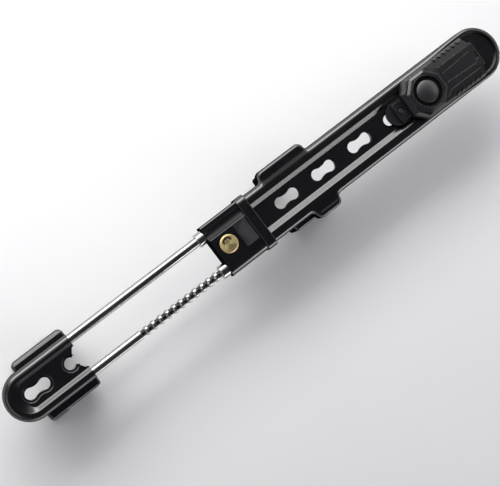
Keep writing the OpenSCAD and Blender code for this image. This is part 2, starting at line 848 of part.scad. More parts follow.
module rod_body(y) {
    translate([rod_x0, y, rod_z]) rotate([0, 90, 0]) cylinder(r = rod_r, h = rod_x1 - rod_x0);
}

// Groove that holds an end stop
module stop_groove(y) {
    translate([stop_x0, y, rod_z])
        rotate([0, 90, 0])
            difference() {
                cylinder(r = rod_r + 1, h = stop_w);
                translate([0, 0, -1]) cylinder(r = rod_r - 1, h = stop_w + 2);
            }
}

module plain_rod() {
    color("#d4d6d9")
    difference() {
        rod_body(rod_y);
        stop_groove(rod_y);
        socket_pin_places() cylinder(r = pin_r + seat_gap, h = sheath_h);
    }
}

module notched_rod() {
    top = rod_r + 1;
    color("#d4d6d9")
    difference() {
        rod_body(-rod_y);
        stop_groove(-rod_y);
        socket_pin_places() cylinder(r = pin_r + seat_gap, h = sheath_h);
        for (i = [-notches_out:notches_in])
            translate([plug_x + i * notch_pitch, -rod_y, rod_z])
                rotate([0, 90, 0])
                    rotate_extrude()
                        polygon([
                            [notch_r, -notch_flat / 2], [top, -notch_flat / 2],
                            [top, notch_flat / 2 + notch_ramp],
                            [rod_r, notch_flat / 2 + notch_ramp], [notch_r, notch_flat / 2]
                        ]);
    }
}

module rod_stops() {
    color("#55575b")
        for (y = [-rod_y, rod_y])
            translate([stop_x0 + seat_gap, y, rod_z])
                rotate([0, 90, 0])
                    difference() {
                        cylinder(d = stop_d, h = stop_w - 2 * seat_gap);
                        translate([0, 0, -1]) cylinder(r = rod_r - 1 + seat_gap, h = stop_w + 2);
                    }
}

// ---- siren ----

// Outline of the case, set in at its sides and by another amount at its near end
function case_points(by, nose) =
    let (corner = case_half - nose_half, k = tan(22.5))
    let (right = [
        [case_x0 + nose, nose_half - k * by],
        [case_x0 + nose + corner - by, case_half - by],
        [case_x1 - tail_cut - k * by, case_half - by],
        [case_x1 - by, tail_half - k * by]
    ])
    concat(right, [for (i = [len(right) - 1:-1:0]) [right[i][0], -right[i][1]]]);

// Case body between two levels, with its upper edges sloped in
module case_form(by, z0, z1) {
    edge_z = base_z + case_h * 0.6;
    hull() {
        translate([0, 0, z0]) linear_extrude(edge_z - z0) polygon(case_points(by, by));
        translate([0, 0, z1 - 0.5])
            linear_extrude(0.5) polygon(case_points(by + case_slope, by + case_nose));
    }
}

module alarm_case() {
    color("#3a3c40")
    difference() {
        case_form(0, base_z, case_top);
        case_form(case_wall, base_z - 1, case_top - case_wall);
        translate([button_x, 0, base_z]) cylinder(r = button_r + slide_gap, h = case_h + 1);
        // Opening and end slots for the battery door
        translate([door_x0 - slide_gap, -door_half - slide_gap, door_z - slide_gap])
            cube([case_len, 2 * (door_half + slide_gap), 10]);
        translate([case_x1 - 8, -rail_half - slide_gap, door_z - rail_t - slide_gap])
            cube([10, 2 * (rail_half + slide_gap), rail_t + 2 * slide_gap]);
        grip_cuts();
    }
}

// Slanted grip grooves along both upper edges
module grip_cuts() {
    for (side = [-1, 1], i = [0:grip_grooves - 1])
        translate([door_x0 + 1.5 + i * groove_pitch, side * (case_half - 2.4), case_top - 3.2])
            rotate([0, 0, -side * 50]) translate([-4, -0.8, 0]) cube([8, 1.6, 6]);
}

module board_screw_places() {
    for (y = [-1, 1])
        translate([button_x + 17, y * (case_half - case_wall - 4.2), base_z]) children();
}

// Base with its tab, which sits in the sheath's web, and the floor under the case
module alarm_base() {
    tab_x = case_x0 - tab_len + tab_w / 2;
    low = web_half - 0.2;
    step_z = shell_z + sheath_h - 3.1;
    floor_by = case_wall + seat_gap;
    rib_h = battery_d - 1;
    color("#34363a")
    difference() {
        union() {
            translate([tab_x, -low, web_z]) cube([case_x1 - 6 - tab_x, 2 * low, base_z - web_z]);
            translate([tab_x, 0, web_z]) cylinder(r = low, h = step_z - web_z + 0.1);
            translate([tab_x, -tab_w / 2, step_z]) cube([case_x0 - tab_x + 2, tab_w, base_z - step_z]);
            translate([tab_x, 0, step_z]) cylinder(r = tab_w / 2, h = base_z - step_z);
            translate([tab_screw_x - 7, -12.5, base_z - 0.1]) cube([14, 25, 1.3]);
            translate([0, 0, base_z]) linear_extrude(floor_t) polygon(case_points(floor_by, floor_by));
            for (x = [contact_x[0] - seat_gap - 1.2, contact_x[1] + contact_t + seat_gap])
                translate([x, -12, floor_z - 0.1]) cube([1.2, 24, rib_h]);
            board_screw_places() cylinder(r = 3.6, h = board_z - base_z);
        }
        translate([tab_screw_x, 0, web_z - 1]) cylinder(r = screw_r + seat_gap, h = sheath_h);
        translate([button_x, 0, floor_z - sounder_h + 1]) cylinder(r = sounder_r + seat_gap, h = 20);
        board_screw_places() translate([0, 0, 0.5]) cylinder(r = screw_r + seat_gap, h = 20);
    }
}

// Button-head screw with a six-sided socket
module tab_screw() {
    head_z = base_z + 1.2;
    color("#4d5054")
    difference() {
        translate([tab_screw_x, 0, 0])
            rotate_extrude()
                polygon([
                    [0, plate_top + 2], [screw_r, plate_top + 2], [screw_r, head_z],
                    [3.3, head_z], [3.3, head_z + 0.8], [2.3, head_z + 2], [0, head_z + 2]
                ]);
        translate([tab_screw_x, 0, head_z + 0.6]) cylinder(r = 1.4, h = 3, $fn = 6);
    }
}

// Screws that hold the circuit board on the base's bosses
module board_screws() {
    head_z = board_z + board_t - base_z;
    color("#6c6e72")
        board_screw_places() {
            translate([0, 0, 1]) cylinder(r = screw_r, h = head_z);
            translate([0, 0, head_z]) cylinder(r = 3, h = 1.4);
        }
}

module alarm_bezel() {
    color("#45474b")
    difference() {
        translate([button_x, 0, case_top])
            rotate([0, 0, 22.5]) cylinder(r = bezel_w / 2 / cos(22.5), h = bezel_h, $fn = 8);
        translate([button_x, 0, case_top - 1]) cylinder(r = seal_r, h = bezel_h + 2);
        translate([button_x, 0, case_top + bezel_h - 0.5])
            difference() {
                cylinder(r = seal_r + 2.6, h = 1);
                translate([0, 0, -1]) cylinder(r = seal_r + 2, h = 3);
            }
    }
}

module button_seal() {
    color("#0a0a0b")
        translate([button_x, 0, case_top])
            difference() {
                cylinder(r = seal_r - seat_gap, h = bezel_h * 0.4);
                translate([0, 0, -1]) cylinder(r = button_r + slide_gap, h = bezel_h + 2);
            }
}

module alarm_button() {
    side_top = case_top + bezel_h - 0.5;
    dome_r = (button_r * button_r + dome_h * dome_h) / (2 * dome_h);
    color("#4a4c50")
        translate([button_x, 0, 0])
            rotate_extrude()
                difference() {
                    union() {
                        translate([0, button_z]) square([button_r, side_top - button_z]);
                        translate([0, button_z]) square([button_r + 1.6, 1.6]);
                        intersection() {
                            translate([0, side_top + dome_h - dome_r]) circle(dome_r);
                            translate([0, side_top - 0.1]) square([button_r, dome_h + 1]);
                        }
                    }
                    translate([2.5, button_z - 1]) square([button_r - 4.5, case_top - button_z - 1]);
                }
}

// Ring of points round one step of the spring's coil
function coil_ring(turn, r, wire, z) = [
    for (a = [0:60:300])
        [(r + wire * cos(a)) * cos(turn), (r + wire * cos(a)) * sin(turn), z + wire * sin(a)]
];

module button_spring() {
    wire = 0.45;
    r = 6;
    turns = 4;
    steps = 16 * turns;
    bottom = board_z + board_t + wire + seat_gap;
    top = case_top - 2 - wire - seat_gap;
    rings = [
        for (i = [0:steps])
            coil_ring(i * 360 * turns / steps, r, wire, bottom + (top - bottom) * i / steps)
    ];
    points = [for (ring = rings, p = ring) p];
    faces = concat(
        [[5, 4, 3, 2, 1, 0]],
        [for (i = [0:steps - 1], j = [0:5]) let (k = (j + 1) % 6)
            each [[i * 6 + j, i * 6 + k, (i + 1) * 6 + k], [i * 6 + j, (i + 1) * 6 + k, (i + 1) * 6 + j]]],
        [[for (j = [0:5]) steps * 6 + j]]
    );
    color("#8f9195") translate([button_x, 0, 0]) polyhedron(points, faces);
}

module button_switch() {
    color("#2a2a2c")
        translate([button_x - 2, -2, board_z + board_t]) cube([4, 4, switch_h]);
}

module circuit_board() {
    color("#1f5a3a")
    difference() {
        translate([button_x - board_back, -board_half, board_z])
            cube([board_back + board_front, 2 * board_half, board_t]);
        board_screw_places() cylinder(r = screw_r + seat_gap, h = 20);
    }
}

module siren_sounder() {
    color("#202022")
        translate([button_x, 0, floor_z - sounder_h + 1 + seat_gap])
            difference() {
                cylinder(r = sounder_r, h = board_z - floor_z + sounder_h - 1 - 2 * seat_gap);
                translate([0, 0, 3]) cylinder(r = 2, h = 20);
            }
}

module batteries() {
    color("#6f7377")
        for (y = [-battery_y, battery_y])
            translate([battery_x0, y, battery_z]) rotate([0, 90, 0]) {
                cylinder(d = battery_d, h = battery_len - 1);
                cylinder(d = battery_d / 2, h = battery_len);
            }
}

module battery_contacts() {
    color("#c4c6c9")
        for (x = contact_x)
            translate([x, -battery_y - 5, floor_z]) cube([contact_t, 2 * battery_y + 10, battery_d - 0.5]);
}

module battery_door() {
    color("#303236")
    difference() {
        union() {
            translate([door_x0, -door_half, door_z]) cube([door_x1 - door_x0, 2 * door_half, door_t]);
            for (y = [-rail_half, door_half - 1.2])
                translate([door_x0, y, door_z - rail_t])
                    cube([door_x1 - door_x0, rail_half - door_half + 1.2, rail_t]);
        }
        translate([door_x1 - 5, -4.5, case_top - 1.2]) cube([2.6, 9, 2]);
    }
}

sheath_shell();
sheath_back();
rear_hook_left();
rear_hook_right();
rear_rivets();
stop_block();
collar_band();
lock_housing();
housing_rivets();
ferrules();
lock_cover();
blank_plate();
cylinder_barrel();
key_plug();
plug_cam();
pawl();
claw_shell();
claw_back();
front_hook_left();
front_hook_right();
front_rivets();
rod_sockets();
socket_pins();
plain_rod();
notched_rod();
rod_stops();
alarm_base();
tab_screw();
alarm_case();
board_screws();
alarm_bezel();
button_seal();
alarm_button();
button_spring();
button_switch();
circuit_board();
siren_sounder();
batteries();
battery_contacts();
battery_door();
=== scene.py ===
import json
import math

import bmesh
import bpy
from mathutils import Matrix, Vector
from mathutils.geometry import tessellate_polygon


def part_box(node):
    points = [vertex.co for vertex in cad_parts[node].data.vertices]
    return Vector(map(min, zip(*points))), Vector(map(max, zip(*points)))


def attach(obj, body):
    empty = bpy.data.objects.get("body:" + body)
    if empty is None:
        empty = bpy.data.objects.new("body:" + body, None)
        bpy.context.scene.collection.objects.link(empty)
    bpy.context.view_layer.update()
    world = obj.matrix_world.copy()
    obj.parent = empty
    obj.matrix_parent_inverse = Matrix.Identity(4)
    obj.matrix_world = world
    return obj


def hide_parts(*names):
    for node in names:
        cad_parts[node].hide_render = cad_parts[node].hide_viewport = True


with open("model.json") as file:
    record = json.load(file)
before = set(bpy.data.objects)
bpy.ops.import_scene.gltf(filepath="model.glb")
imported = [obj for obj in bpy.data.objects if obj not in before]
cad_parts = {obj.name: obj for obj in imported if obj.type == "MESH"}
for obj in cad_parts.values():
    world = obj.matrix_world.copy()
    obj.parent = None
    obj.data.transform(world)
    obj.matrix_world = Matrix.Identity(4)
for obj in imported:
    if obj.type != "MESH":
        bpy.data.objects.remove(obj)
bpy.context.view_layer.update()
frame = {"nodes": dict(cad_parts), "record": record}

MM = 0.001


# ---- places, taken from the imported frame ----

def low(node):
    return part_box(node)[0]


def high(node):
    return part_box(node)[1]


def middle(node):
    return (low(node) + high(node)) / 2


def span_x(node):
    return low(node).x, high(node).x


def span_z(node):
    return low(node).z, high(node).z


def mount(name):
    return next(m for m in frame["record"]["mounts"] if m["name"] == name)


BODIES = frame["record"]["behaviour"]["bodies"]
BODY_OF = {node: body for body, nodes in BODIES.items() for node in nodes}
SLOT_OF = {part["node"]: part["material_slot"] for part in frame["record"]["subparts"]}

# Wall of the pressed shells, and the gap between pieces that lie face to face
WALL = 2.2 * MM
SEAT_GAP = 0.1 * MM

ROD_R = (high("plain_rod").z - low("plain_rod").z) / 2
ROD_Y = middle("plain_rod").y
ROD_Z = middle("plain_rod").z
SHELL_Z = low("claw_back").z
CROWN_Z = high("claw_shell").z
CLAW_X0, CLAW_X1 = span_x("claw_shell")
CLAW_HALF = high("claw_shell").y
SHEATH_X0, SHEATH_X1 = span_x("sheath_shell")
SHEATH_HALF = high("sheath_back").y + WALL + SEAT_GAP
PLUG = middle("key_plug")
PLUG_R = (high("key_plug").x - low("key_plug").x) / 2
BUTTON = middle("alarm_button")
CASE_TOP = high("alarm_case").z
FRONT_SEAT = Vector(mount("front_rim_seat")["pos_m"])
REAR_SEAT = Vector(mount("rear_rim_seat")["pos_m"])
SEAT_R = mount("rear_rim_seat")["dims"]["r_mm"] * MM


# ---- mesh helpers ----

# Points closer than MERGE are one point, and a point within NEAR of a face lies on it
MERGE = 0.001 * MM
NEAR = 0.01 * MM
NEARLY_STRAIGHT = math.radians(89.5)
MITRE_LIMIT = 0.35


def shade_by_area(mesh, limit):
    """Smooth shading in which a large face keeps its own normal and only the small ones bend.
    Faces that meet at a sharper angle than the limit (a cosine) stay apart."""
    mesh.shade_smooth()
    around = [[] for _ in mesh.vertices]
    for face in mesh.polygons:
        weighted = (face.normal.copy(), face.area)
        for v in face.vertices:
            around[v].append(weighted)
    normals = []
    for face in mesh.polygons:
        own = face.normal
        for v in face.vertices:
            total = Vector((0, 0, 0))
            for normal, area in around[v]:
                if own.dot(normal) > limit:
                    total += normal * area
            normals.append(total.normalized() if total.length > 0 else own)
    mesh.normals_split_custom_set(normals)


def link_mesh(name, bm):
    """Puts a mesh in the scene as a new object."""
    mesh = bpy.data.meshes.new(name)
    bm.to_mesh(mesh)
    bm.free()
    thing = bpy.data.objects.new(name, mesh)
    bpy.context.scene.collection.objects.link(thing)
    return thing


def new_piece(name, bm, node, smooth=38):
    """Makes a mesh object that stands for its CAD node and rides on its body.
    Faces that turn by less than smooth, in degrees, shade into each other."""
    bmesh.ops.remove_doubles(bm, verts=bm.verts, dist=MERGE)
    bmesh.ops.recalc_face_normals(bm, faces=bm.faces)
    piece = link_mesh(name, bm)
    slot = SLOT_OF[node]
    shade_by_area(piece.data, math.cos(math.radians(smooth)))
    piece.data.materials.append(MATERIALS[slot])
    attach(piece, BODY_OF[node])
    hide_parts(node)
    return piece


def arc(centre, radius, start, end, steps):
    """Points along an arc, its angles in degrees."""
    angles = [math.radians(start + (end - start) * i / steps) for i in range(steps + 1)]
    return [(centre[0] + radius * math.cos(a), centre[1] + radius * math.sin(a)) for a in angles]


def quarter(steps):
    """Angles from 0 to a right angle, in radians."""
    return [math.pi / 2 * i / steps for i in range(steps + 1)]


def rounded(points, radii, steps=5, closed=False):
    """A path through the points, with an arc of its own radius at each."""
    out = []
    count = len(points)
    for i, (here, radius) in enumerate(zip(points, radii)):
        here = Vector(here)
        if radius <= 0 or (not closed and i in (0, count - 1)):
            out.append(tuple(here))
            continue
        before = (Vector(points[i - 1]) - here).normalized()
        after = (Vector(points[(i + 1) % count]) - here).normalized()
        half = before.angle(after) / 2
        if half > NEARLY_STRAIGHT:
            out.append(tuple(here))
            continue
        reach = radius / math.tan(half)
        centre = here + (before + after).normalized() * (radius / math.sin(half))
        first = here + before * reach - centre
        last = here + after * reach - centre
        turn = first.angle_signed(last)
        for k in range(steps + 1):
            out.append(tuple(centre + Matrix.Rotation(-turn * k / steps, 2) @ first))
    return out


def offset(loop, by):
    """A closed loop moved inwards by a distance, corner by corner. The loop runs anticlockwise."""
    out = []
    for i, here in enumerate(loop):
        here, last, then = Vector(here), Vector(loop[i - 1]), Vector(loop[(i + 1) % len(loop)])
        a, b = (here - last).normalized(), (then - here).normalized()
        na, nb = Vector((-a.y, a.x)), Vector((-b.y, b.x))
        mitre = (na + nb).normalized()
        out.append(tuple(here + mitre * (by / max(MITRE_LIMIT, mitre.dot(na)))))
    return out


def ring(bm, points):
    """New vertices at the points, in their order."""
    return [bm.verts.new(p) for p in points]


def bridge(bm, a, b, closed=True):
    """Quads between two rings that have the same number of points."""
    for i in range(len(a) if closed else len(a) - 1):
        k = (i + 1) % len(a)
        quad = []
        for v in (a[i], a[k], b[k], b[i]):
            if v not in quad:
                quad.append(v)
        if len(quad) > 2:
            bm.faces.new(quad)


def skin(bm, rings, closed=True):
    """Quads between each ring and the next."""
    for a, b in zip(rings, rings[1:]):
        bridge(bm, a, b, closed)


def fill(bm, rings):
    """Fills the flat area inside the first ring and outside the others."""
    loops = [[v.co for v in r] for r in rings]
    flat = [v for r in rings for v in r]
    for triangle in tessellate_polygon(loops):
        if len(set(triangle)) == 3:
            bm.faces.new([flat[i] for i in triangle])


def rounded_levels(z0, z1, radius, steps=4):
    """Levels and insets that round the lower and upper edges of a slab."""
    top_side = [(z1 - radius * (1 - math.sin(a)), radius * (1 - math.cos(a))) for a in quarter(steps)]
    return [(z0 + z1 - z, by) for z, by in reversed(top_side)] + top_side


def slab(bm, outline, z0, z1, radius, hole=None, hole_radius=0.0, place=lambda x, y, z: (x, y, z), steps=4):
    """A plate of one outline with rounded edges. place puts a flat point and its level in space."""
    def walls(loop, r, inward):
        rings = [ring(bm, [place(x, y, z) for x, y in offset(loop, by * inward)])
                 for z, by in rounded_levels(z0, z1, r, steps)]
        skin(bm, rings)
        return rings[0], rings[-1]
    ends = [walls(outline, radius, 1)]
    if hole:
        ends.append(walls(hole, hole_radius, -1))
    fill(bm, [e[0] for e in ends])
    fill(bm, [e[1] for e in ends])


def lathe(bm, profile, place, segments=64):
    """Turns a profile of (radius, height) points round an axis. place puts (x, y, height) in space."""
    turns = [2 * math.pi * i / segments for i in range(segments)]
    rings = []
    for r, h in profile:
        if r < MERGE:
            rings.append([bm.verts.new(place(0, 0, h))] * segments)
        else:
            rings.append(ring(bm, [place(r * math.cos(a), r * math.sin(a), h) for a in turns]))
    skin(bm, rings)


def cad_copy(node):
    """The mesh of a CAD node, its flat faces joined up."""
    bm = bmesh.new()
    bm.from_mesh(frame["nodes"][node].data)
    bmesh.ops.remove_doubles(bm, verts=bm.verts, dist=MERGE)
    bmesh.ops.dissolve_limit(bm, angle_limit=0.02, verts=bm.verts, edges=bm.edges)
    return bm


def round_edges(bm, width, segments=3, angle=25):
    """Rounds every edge whose faces turn by more than an angle in degrees."""
    limit = math.radians(angle)
    sharp = [e for e in bm.edges if len(e.link_faces) == 2 and e.calc_face_angle(0) > limit]
    bmesh.ops.bevel(bm, geom=sharp, offset=width, segments=segments, profile=0.5, affect="EDGES",
                    clamp_overlap=True, miter_outer="ARC")


def cut_across(bm, places):
    """Cuts a mesh by planes across Y, so that its faces can follow a curve there."""
    for y in places:
        bmesh.ops.bisect_plane(bm, geom=bm.verts[:] + bm.edges[:] + bm.faces[:], dist=1e-7,
                               plane_co=(0, y, 0), plane_no=(0, 1, 0))


def make_rounded_copy(node, width):
    """Stands for a CAD node with the same shape, its sharp edges rounded."""
    bm = cad_copy(node)
    round_edges(bm, width, segments=4)
    new_piece(node + "_finished", bm, node, smooth=35)


# ---- materials ----

# Noise scales in features a metre, the stretch of lines along a rod, and the depths of relief
MOTTLE, SMUDGE, PEEL = 35, 28, 330
ALONG_ROD = (1, 16, 16)
RELIEF = 0.3 * MM
FINE_RELIEF = 0.2 * MM


MATERIALS = {}


def tree_of(name, **sockets):
    """Makes a material, and gives its tree and its shader, with some of the shader's sockets set."""
    material = bpy.data.materials.new(name)
    material.use_nodes = True
    MATERIALS[name] = material
    shader = material.node_tree.nodes["Principled BSDF"]
    for key, value in sockets.items():
        shader.inputs[key.replace("_", " ")].default_value = value
    return material.node_tree, shader


def add(tree, kind, inputs=None, **settings):
    """A new node. An input is a value, or another node's output to link."""
    node = tree.nodes.new(kind)
    for key, value in settings.items():
        setattr(node, key, value)
    for key, value in (inputs or {}).items():
        if isinstance(value, bpy.types.NodeSocket):
            tree.links.new(value, node.inputs[key])
        else:
            node.inputs[key].default_value = value
    return node


def place_of(tree, stretch=(1, 1, 1)):
    """Object position in metres, stretched along its axes."""
    coords = add(tree, "ShaderNodeTexCoord")
    return add(tree, "ShaderNodeMapping", {"Vector": coords.outputs["Object"], "Scale": stretch}).outputs[0]


def noise(tree, scale, detail=3.0, rough=0.55, stretch=(1, 1, 1)):
    """Cloudy noise around 0.5."""
    return add(tree, "ShaderNodeTexNoise", {"Vector": place_of(tree, stretch), "Scale": scale,
                                            "Detail": detail, "Roughness": rough}).outputs[0]


def ramp(tree, source, *stops):
    """Colours between stops of (place, colour), where a single number is a grey."""
    node = add(tree, "ShaderNodeValToRGB", {"Fac": source})
    elements = node.color_ramp.elements
    while len(elements) < len(stops):
        elements.new(0.5)
    for element, (where, colour) in zip(elements, stops):
        if not hasattr(colour, "__len__"):
            colour = (colour, colour, colour)
        element.position = where
        element.color = tuple(colour) + (1,)
    return node.outputs[0]


def remap(tree, source, low_value, high_value, from_low=0.3, from_high=0.7):
    """A source between from_low and from_high, spread from low_value to high_value."""
    return add(tree, "ShaderNodeMapRange", {"Value": source, "From Min": from_low, "From Max": from_high,
                                            "To Min": low_value, "To Max": high_value}).outputs[0]


def dress(tree, shader, colour, roughness, *bumps):
    """Links a colour, a roughness if there is one, and bumps of (height, strength, distance)."""
    tree.links.new(colour, shader.inputs["Base Color"])
    if roughness is not None:
        tree.links.new(roughness, shader.inputs["Roughness"])
    normal = None
    for height, strength, distance in bumps:
        node = add(tree, "ShaderNodeBump", {"Height": height, "Strength": strength, "Distance": distance})
        if normal is not None:
            tree.links.new(normal, node.inputs["Normal"])
        normal = node.outputs[0]
    tree.links.new(normal, shader.inputs["Normal"])


def fading_gloss(tree, shader, gloss):
    """Gloss that dies away where a surface is seen edge on. The socket itself holds it in full too,
    for the export, which drops the link."""
    fade_start, fade_end = 0.45, 0.72
    facing = add(tree, "ShaderNodeLayerWeight", {"Blend": 0.5}).outputs["Facing"]
    shader.inputs["Specular IOR Level"].default_value = gloss
    tree.links.new(remap(tree, facing, gloss, 0, fade_start, fade_end), shader.inputs["Specular IOR Level"])


def painted_steel(name, colour, light, rough, gloss, orange_peel):
    """Stoved black paint: faint orange peel, a slight mottle and a few fine handling marks."""
    tree, shader = tree_of(name)
    fading_gloss(tree, shader, gloss)
    mottle = noise(tree, MOTTLE, 5, 0.6)
    base = ramp(tree, mottle, (0.3, colour), (0.75, light))
    marks = remap(tree, noise(tree, 55, 6, 0.75, (1, 14, 3)), 0, 0.3, 0.66, 0.74)
    worn = tuple(2.5 * c + 0.003 for c in light) + (1,)
    mix = add(tree, "ShaderNodeMix", {0: marks, 6: base, 7: worn}, data_type="RGBA")
    dress(tree, shader, mix.outputs[2], remap(tree, mottle, rough - 0.02, rough + 0.04, 0.3, 0.75),
          (noise(tree, PEEL, 2, 0.5), orange_peel, RELIEF))


def bright_metal(name, colour, dark, rough, stretch, scale, depth):
    """Polished or brushed metal with fine lines along its stretch, and faint smudges."""
    tree, shader = tree_of(name, Metallic=1.0)
    smudge = noise(tree, SMUDGE, 4, 0.6)
    dress(tree, shader, ramp(tree, smudge, (0.3, dark), (0.62, colour)),
          remap(tree, smudge, rough * 0.6, rough * 1.7, 0.35, 0.75),
          (noise(tree, scale, 4, 0.6, stretch), depth, RELIEF))


def notch_shaded_rod(name, unshaded, notch_shade, radius):
    """Polished steel with painted shade in its notches: darker near the axis of the notched rod."""
    shaded_r = radius * 0.76
    tree, shader = tree_of(name, Metallic=1.0)
    axis = (0, middle("notched_rod").y, ROD_Z)
    length = add(tree, "ShaderNodeVectorMath", {0: place_of(tree, (0, 1, 1)), 1: axis},
                 operation="DISTANCE").outputs["Value"]
    patchy = add(tree, "ShaderNodeMath", {0: noise(tree, 260, 3), 1: 0.9 * MM, 2: length},
                 operation="MULTIPLY_ADD").outputs[0]
    # Painted shade: the colour darkens towards the rod's axis, so the notch floors read dark as if shaded.
    along = remap(tree, patchy, 0, 1, shaded_r, radius)
    dress(tree, shader, ramp(tree, along, (0.0, notch_shade), (1.0, unshaded)),
          remap(tree, noise(tree, SMUDGE, 4), 0.09, 0.2, 0.35, 0.75),
          (noise(tree, 60, 4, 0.6, ALONG_ROD), 0.02, RELIEF))


def moulded(name, colour, light, rough, gloss, grain, depth):
    """Moulded plastic or rubber with a fine spark-eroded texture and slight unevenness."""
    tree, shader = tree_of(name)
    fading_gloss(tree, shader, gloss)
    fine = noise(tree, grain, 2, 0.6)
    dress(tree, shader, ramp(tree, noise(tree, 45, 4, 0.6), (0.3, colour), (0.7, light)),
          remap(tree, fine, rough - 0.06, rough + 0.1),
          (fine, depth, FINE_RELIEF), (noise(tree, 220, 2, 0.5), 0.08, RELIEF))


def brass_face(name):
    """Turned brass with tool marks round the plug's axis, and painted shade down in its keyway."""
    tree, shader = tree_of(name, Metallic=1.0, Anisotropic=0.75)
    place = place_of(tree)
    centred = add(tree, "ShaderNodeVectorMath", {0: place, 1: (-PLUG.x, -PLUG.y, 0)},
                  operation="ADD").outputs[0]
    rings = add(tree, "ShaderNodeTexWave", {"Vector": centred, "Scale": 260, "Distortion": 0.6,
                                            "Detail": 2.0, "Detail Scale": 3.0},
                wave_type="RINGS", rings_direction="Z").outputs[0]
    smudge = noise(tree, 160, 5, 0.65)
    turned = ramp(tree, smudge, (0.3, (0.80, 0.62, 0.29)), (0.7, (0.97, 0.80, 0.42)))
    # Painted shade: the brass turns near black below the plug's face, down in the keyway.
    level = add(tree, "ShaderNodeSeparateXYZ", {0: place}).outputs[2]
    face_z = high("key_plug").z
    unshaded = remap(tree, level, 0, 1, face_z - 1.1 * MM, face_z - 0.5 * MM)
    keyway_shade = (0.012, 0.009, 0.006, 1)
    mix = add(tree, "ShaderNodeMix", {0: unshaded, 6: keyway_shade, 7: turned}, data_type="RGBA")
    tangent = add(tree, "ShaderNodeTangent", direction_type="RADIAL", axis="Z")
    tree.links.new(tangent.outputs[0], shader.inputs["Tangent"])
    dress(tree, shader, mix.outputs[2], remap(tree, rings, 0.3, 0.42, 0, 1),
          (rings, 0.25, 0.04 * MM), (smudge, 0.05, FINE_RELIEF))


def board_face(name):
    """Green solder mask over faint copper tracks."""
    tree, shader = tree_of(name, Roughness=0.35, Coat_Weight=0.4)
    greens = {"Color1": (0.01, 0.08, 0.035, 1), "Color2": (0.012, 0.10, 0.04, 1),
              "Mortar": (0.05, 0.22, 0.07, 1)}
    tracks = add(tree, "ShaderNodeTexBrick",
                 {"Vector": place_of(tree), "Scale": 90.0, "Mortar Size": 0.03, **greens}).outputs[0]
    dress(tree, shader, tracks, None, (noise(tree, 700), 0.1, FINE_RELIEF))


def battery_face(name):
    """A battery's printed sleeve with a band of another shade near its positive end."""
    tree, shader = tree_of(name, Roughness=0.3, Coat_Weight=0.5)
    x = add(tree, "ShaderNodeSeparateXYZ", {0: place_of(tree)}).outputs[0]
    along = remap(tree, x, 0, 1, *span_x("batteries"))
    orange, gold = (0.35, 0.16, 0.03), (0.42, 0.2, 0.05)
    sleeve = ramp(tree, along, (0.0, 0.02), (0.70, 0.03), (0.72, orange), (0.97, gold))
    dress(tree, shader, sleeve, None, (noise(tree, 400), 0.06, FINE_RELIEF))


painted_steel("black_steel", (0.0024, 0.0024, 0.0028), (0.0042, 0.0042, 0.0048),
              rough=0.2, gloss=1.0, orange_peel=0.06)
painted_steel("satin_black", (0.0015, 0.0015, 0.0018), (0.003, 0.003, 0.0034),
              rough=0.2, gloss=1.0, orange_peel=0.05)
bright_metal("grey_plate", (0.085, 0.086, 0.09), (0.06, 0.0605, 0.064),
             rough=0.42, stretch=(1, 40, 1), scale=40, depth=0.15)
bright_metal("chrome", (0.41, 0.405, 0.395), (0.34, 0.335, 0.325),
             rough=0.14, stretch=ALONG_ROD, scale=60, depth=0.02)
# Chrome for the notched rod, with painted shade in its notches
notch_shaded_rod("notched_chrome", (0.46, 0.455, 0.445), (0.04, 0.04, 0.04), ROD_R)
bright_metal("dark_steel", (0.30, 0.30, 0.31), (0.17, 0.17, 0.18),
             rough=0.34, stretch=(6, 6, 6), scale=60, depth=0.2)
brass_face("brass")
moulded("grey_plastic", (0.0055, 0.0057, 0.0063), (0.0085, 0.0088, 0.0097),
        rough=0.29, gloss=0.75, grain=1100, depth=0.35)
moulded("button_plastic", (0.010, 0.0105, 0.0115), (0.014, 0.0145, 0.016),
        rough=0.36, gloss=0.9, grain=1300, depth=0.15)
moulded("black_rubber", (0.0012, 0.0012, 0.0012), (0.002, 0.002, 0.002),
        rough=0.75, gloss=0.12, grain=800, depth=0.3)
moulded("black_plastic", (0.004, 0.004, 0.004), (0.008, 0.008, 0.008),
        rough=0.5, gloss=0.5, grain=900, depth=0.25)
board_face("board_green")
battery_face("battery_wrap")

for node, thing in frame["nodes"].items():
    thing.data.materials.clear()
    thing.data.materials.append(MATERIALS[SLOT_OF[node]])


# ---- pressed shells ----

# Keyholes: two round lobes and a waist between them, in a row along the sheath
LOBE_R, LOBE_SPACING, WAIST_HALF = 6.65 * MM, 17.7 * MM, 4.75 * MM
KEYHOLE_PITCH = 52.7 * MM
FIRST_KEYHOLE = 39.0 * MM
KEYHOLES = 4

# Points of a section's side, and steps round a shell's round end
SIDE_POINTS = 44
ROUND_STEPS = 40


def point_on(path, share):
    """The point of a path at a share of its length."""
    lengths = [0.0]
    for a, b in zip(path, path[1:]):
        lengths.append(lengths[-1] + math.dist(a, b))
    goal = lengths[-1] * min(1, max(0, share))
    k = 0
    while k < len(path) - 2 and lengths[k + 1] < goal:
        k += 1
    t = (goal - lengths[k]) / (lengths[k + 1] - lengths[k])
    return tuple(Vector(path[k]).lerp(Vector(path[k + 1]), min(1, t)))


def spread(path, count):
    """The same path with a given number of points, evenly apart."""
    return [point_on(path, i / (count - 1)) for i in range(count)]


def shell_section(half, shoulder, web, ridge, drop, height, crease=3 * MM):
    """Half of a pressed section, from the foot of its side over the ridge to the flat web."""
    crown, floor_z = half - shoulder, height - drop
    edge = 0.999 * shoulder
    side = rounded([(half, 0), (half, height), (crown, height)], [0, edge, 0], 16)
    top = [(crown, height), (ridge, height), (web, floor_z), (0, floor_z)]
    rest = rounded(top, [0, crease, crease, 0], 8)
    return spread(side, SIDE_POINTS) + rest[1:-1]


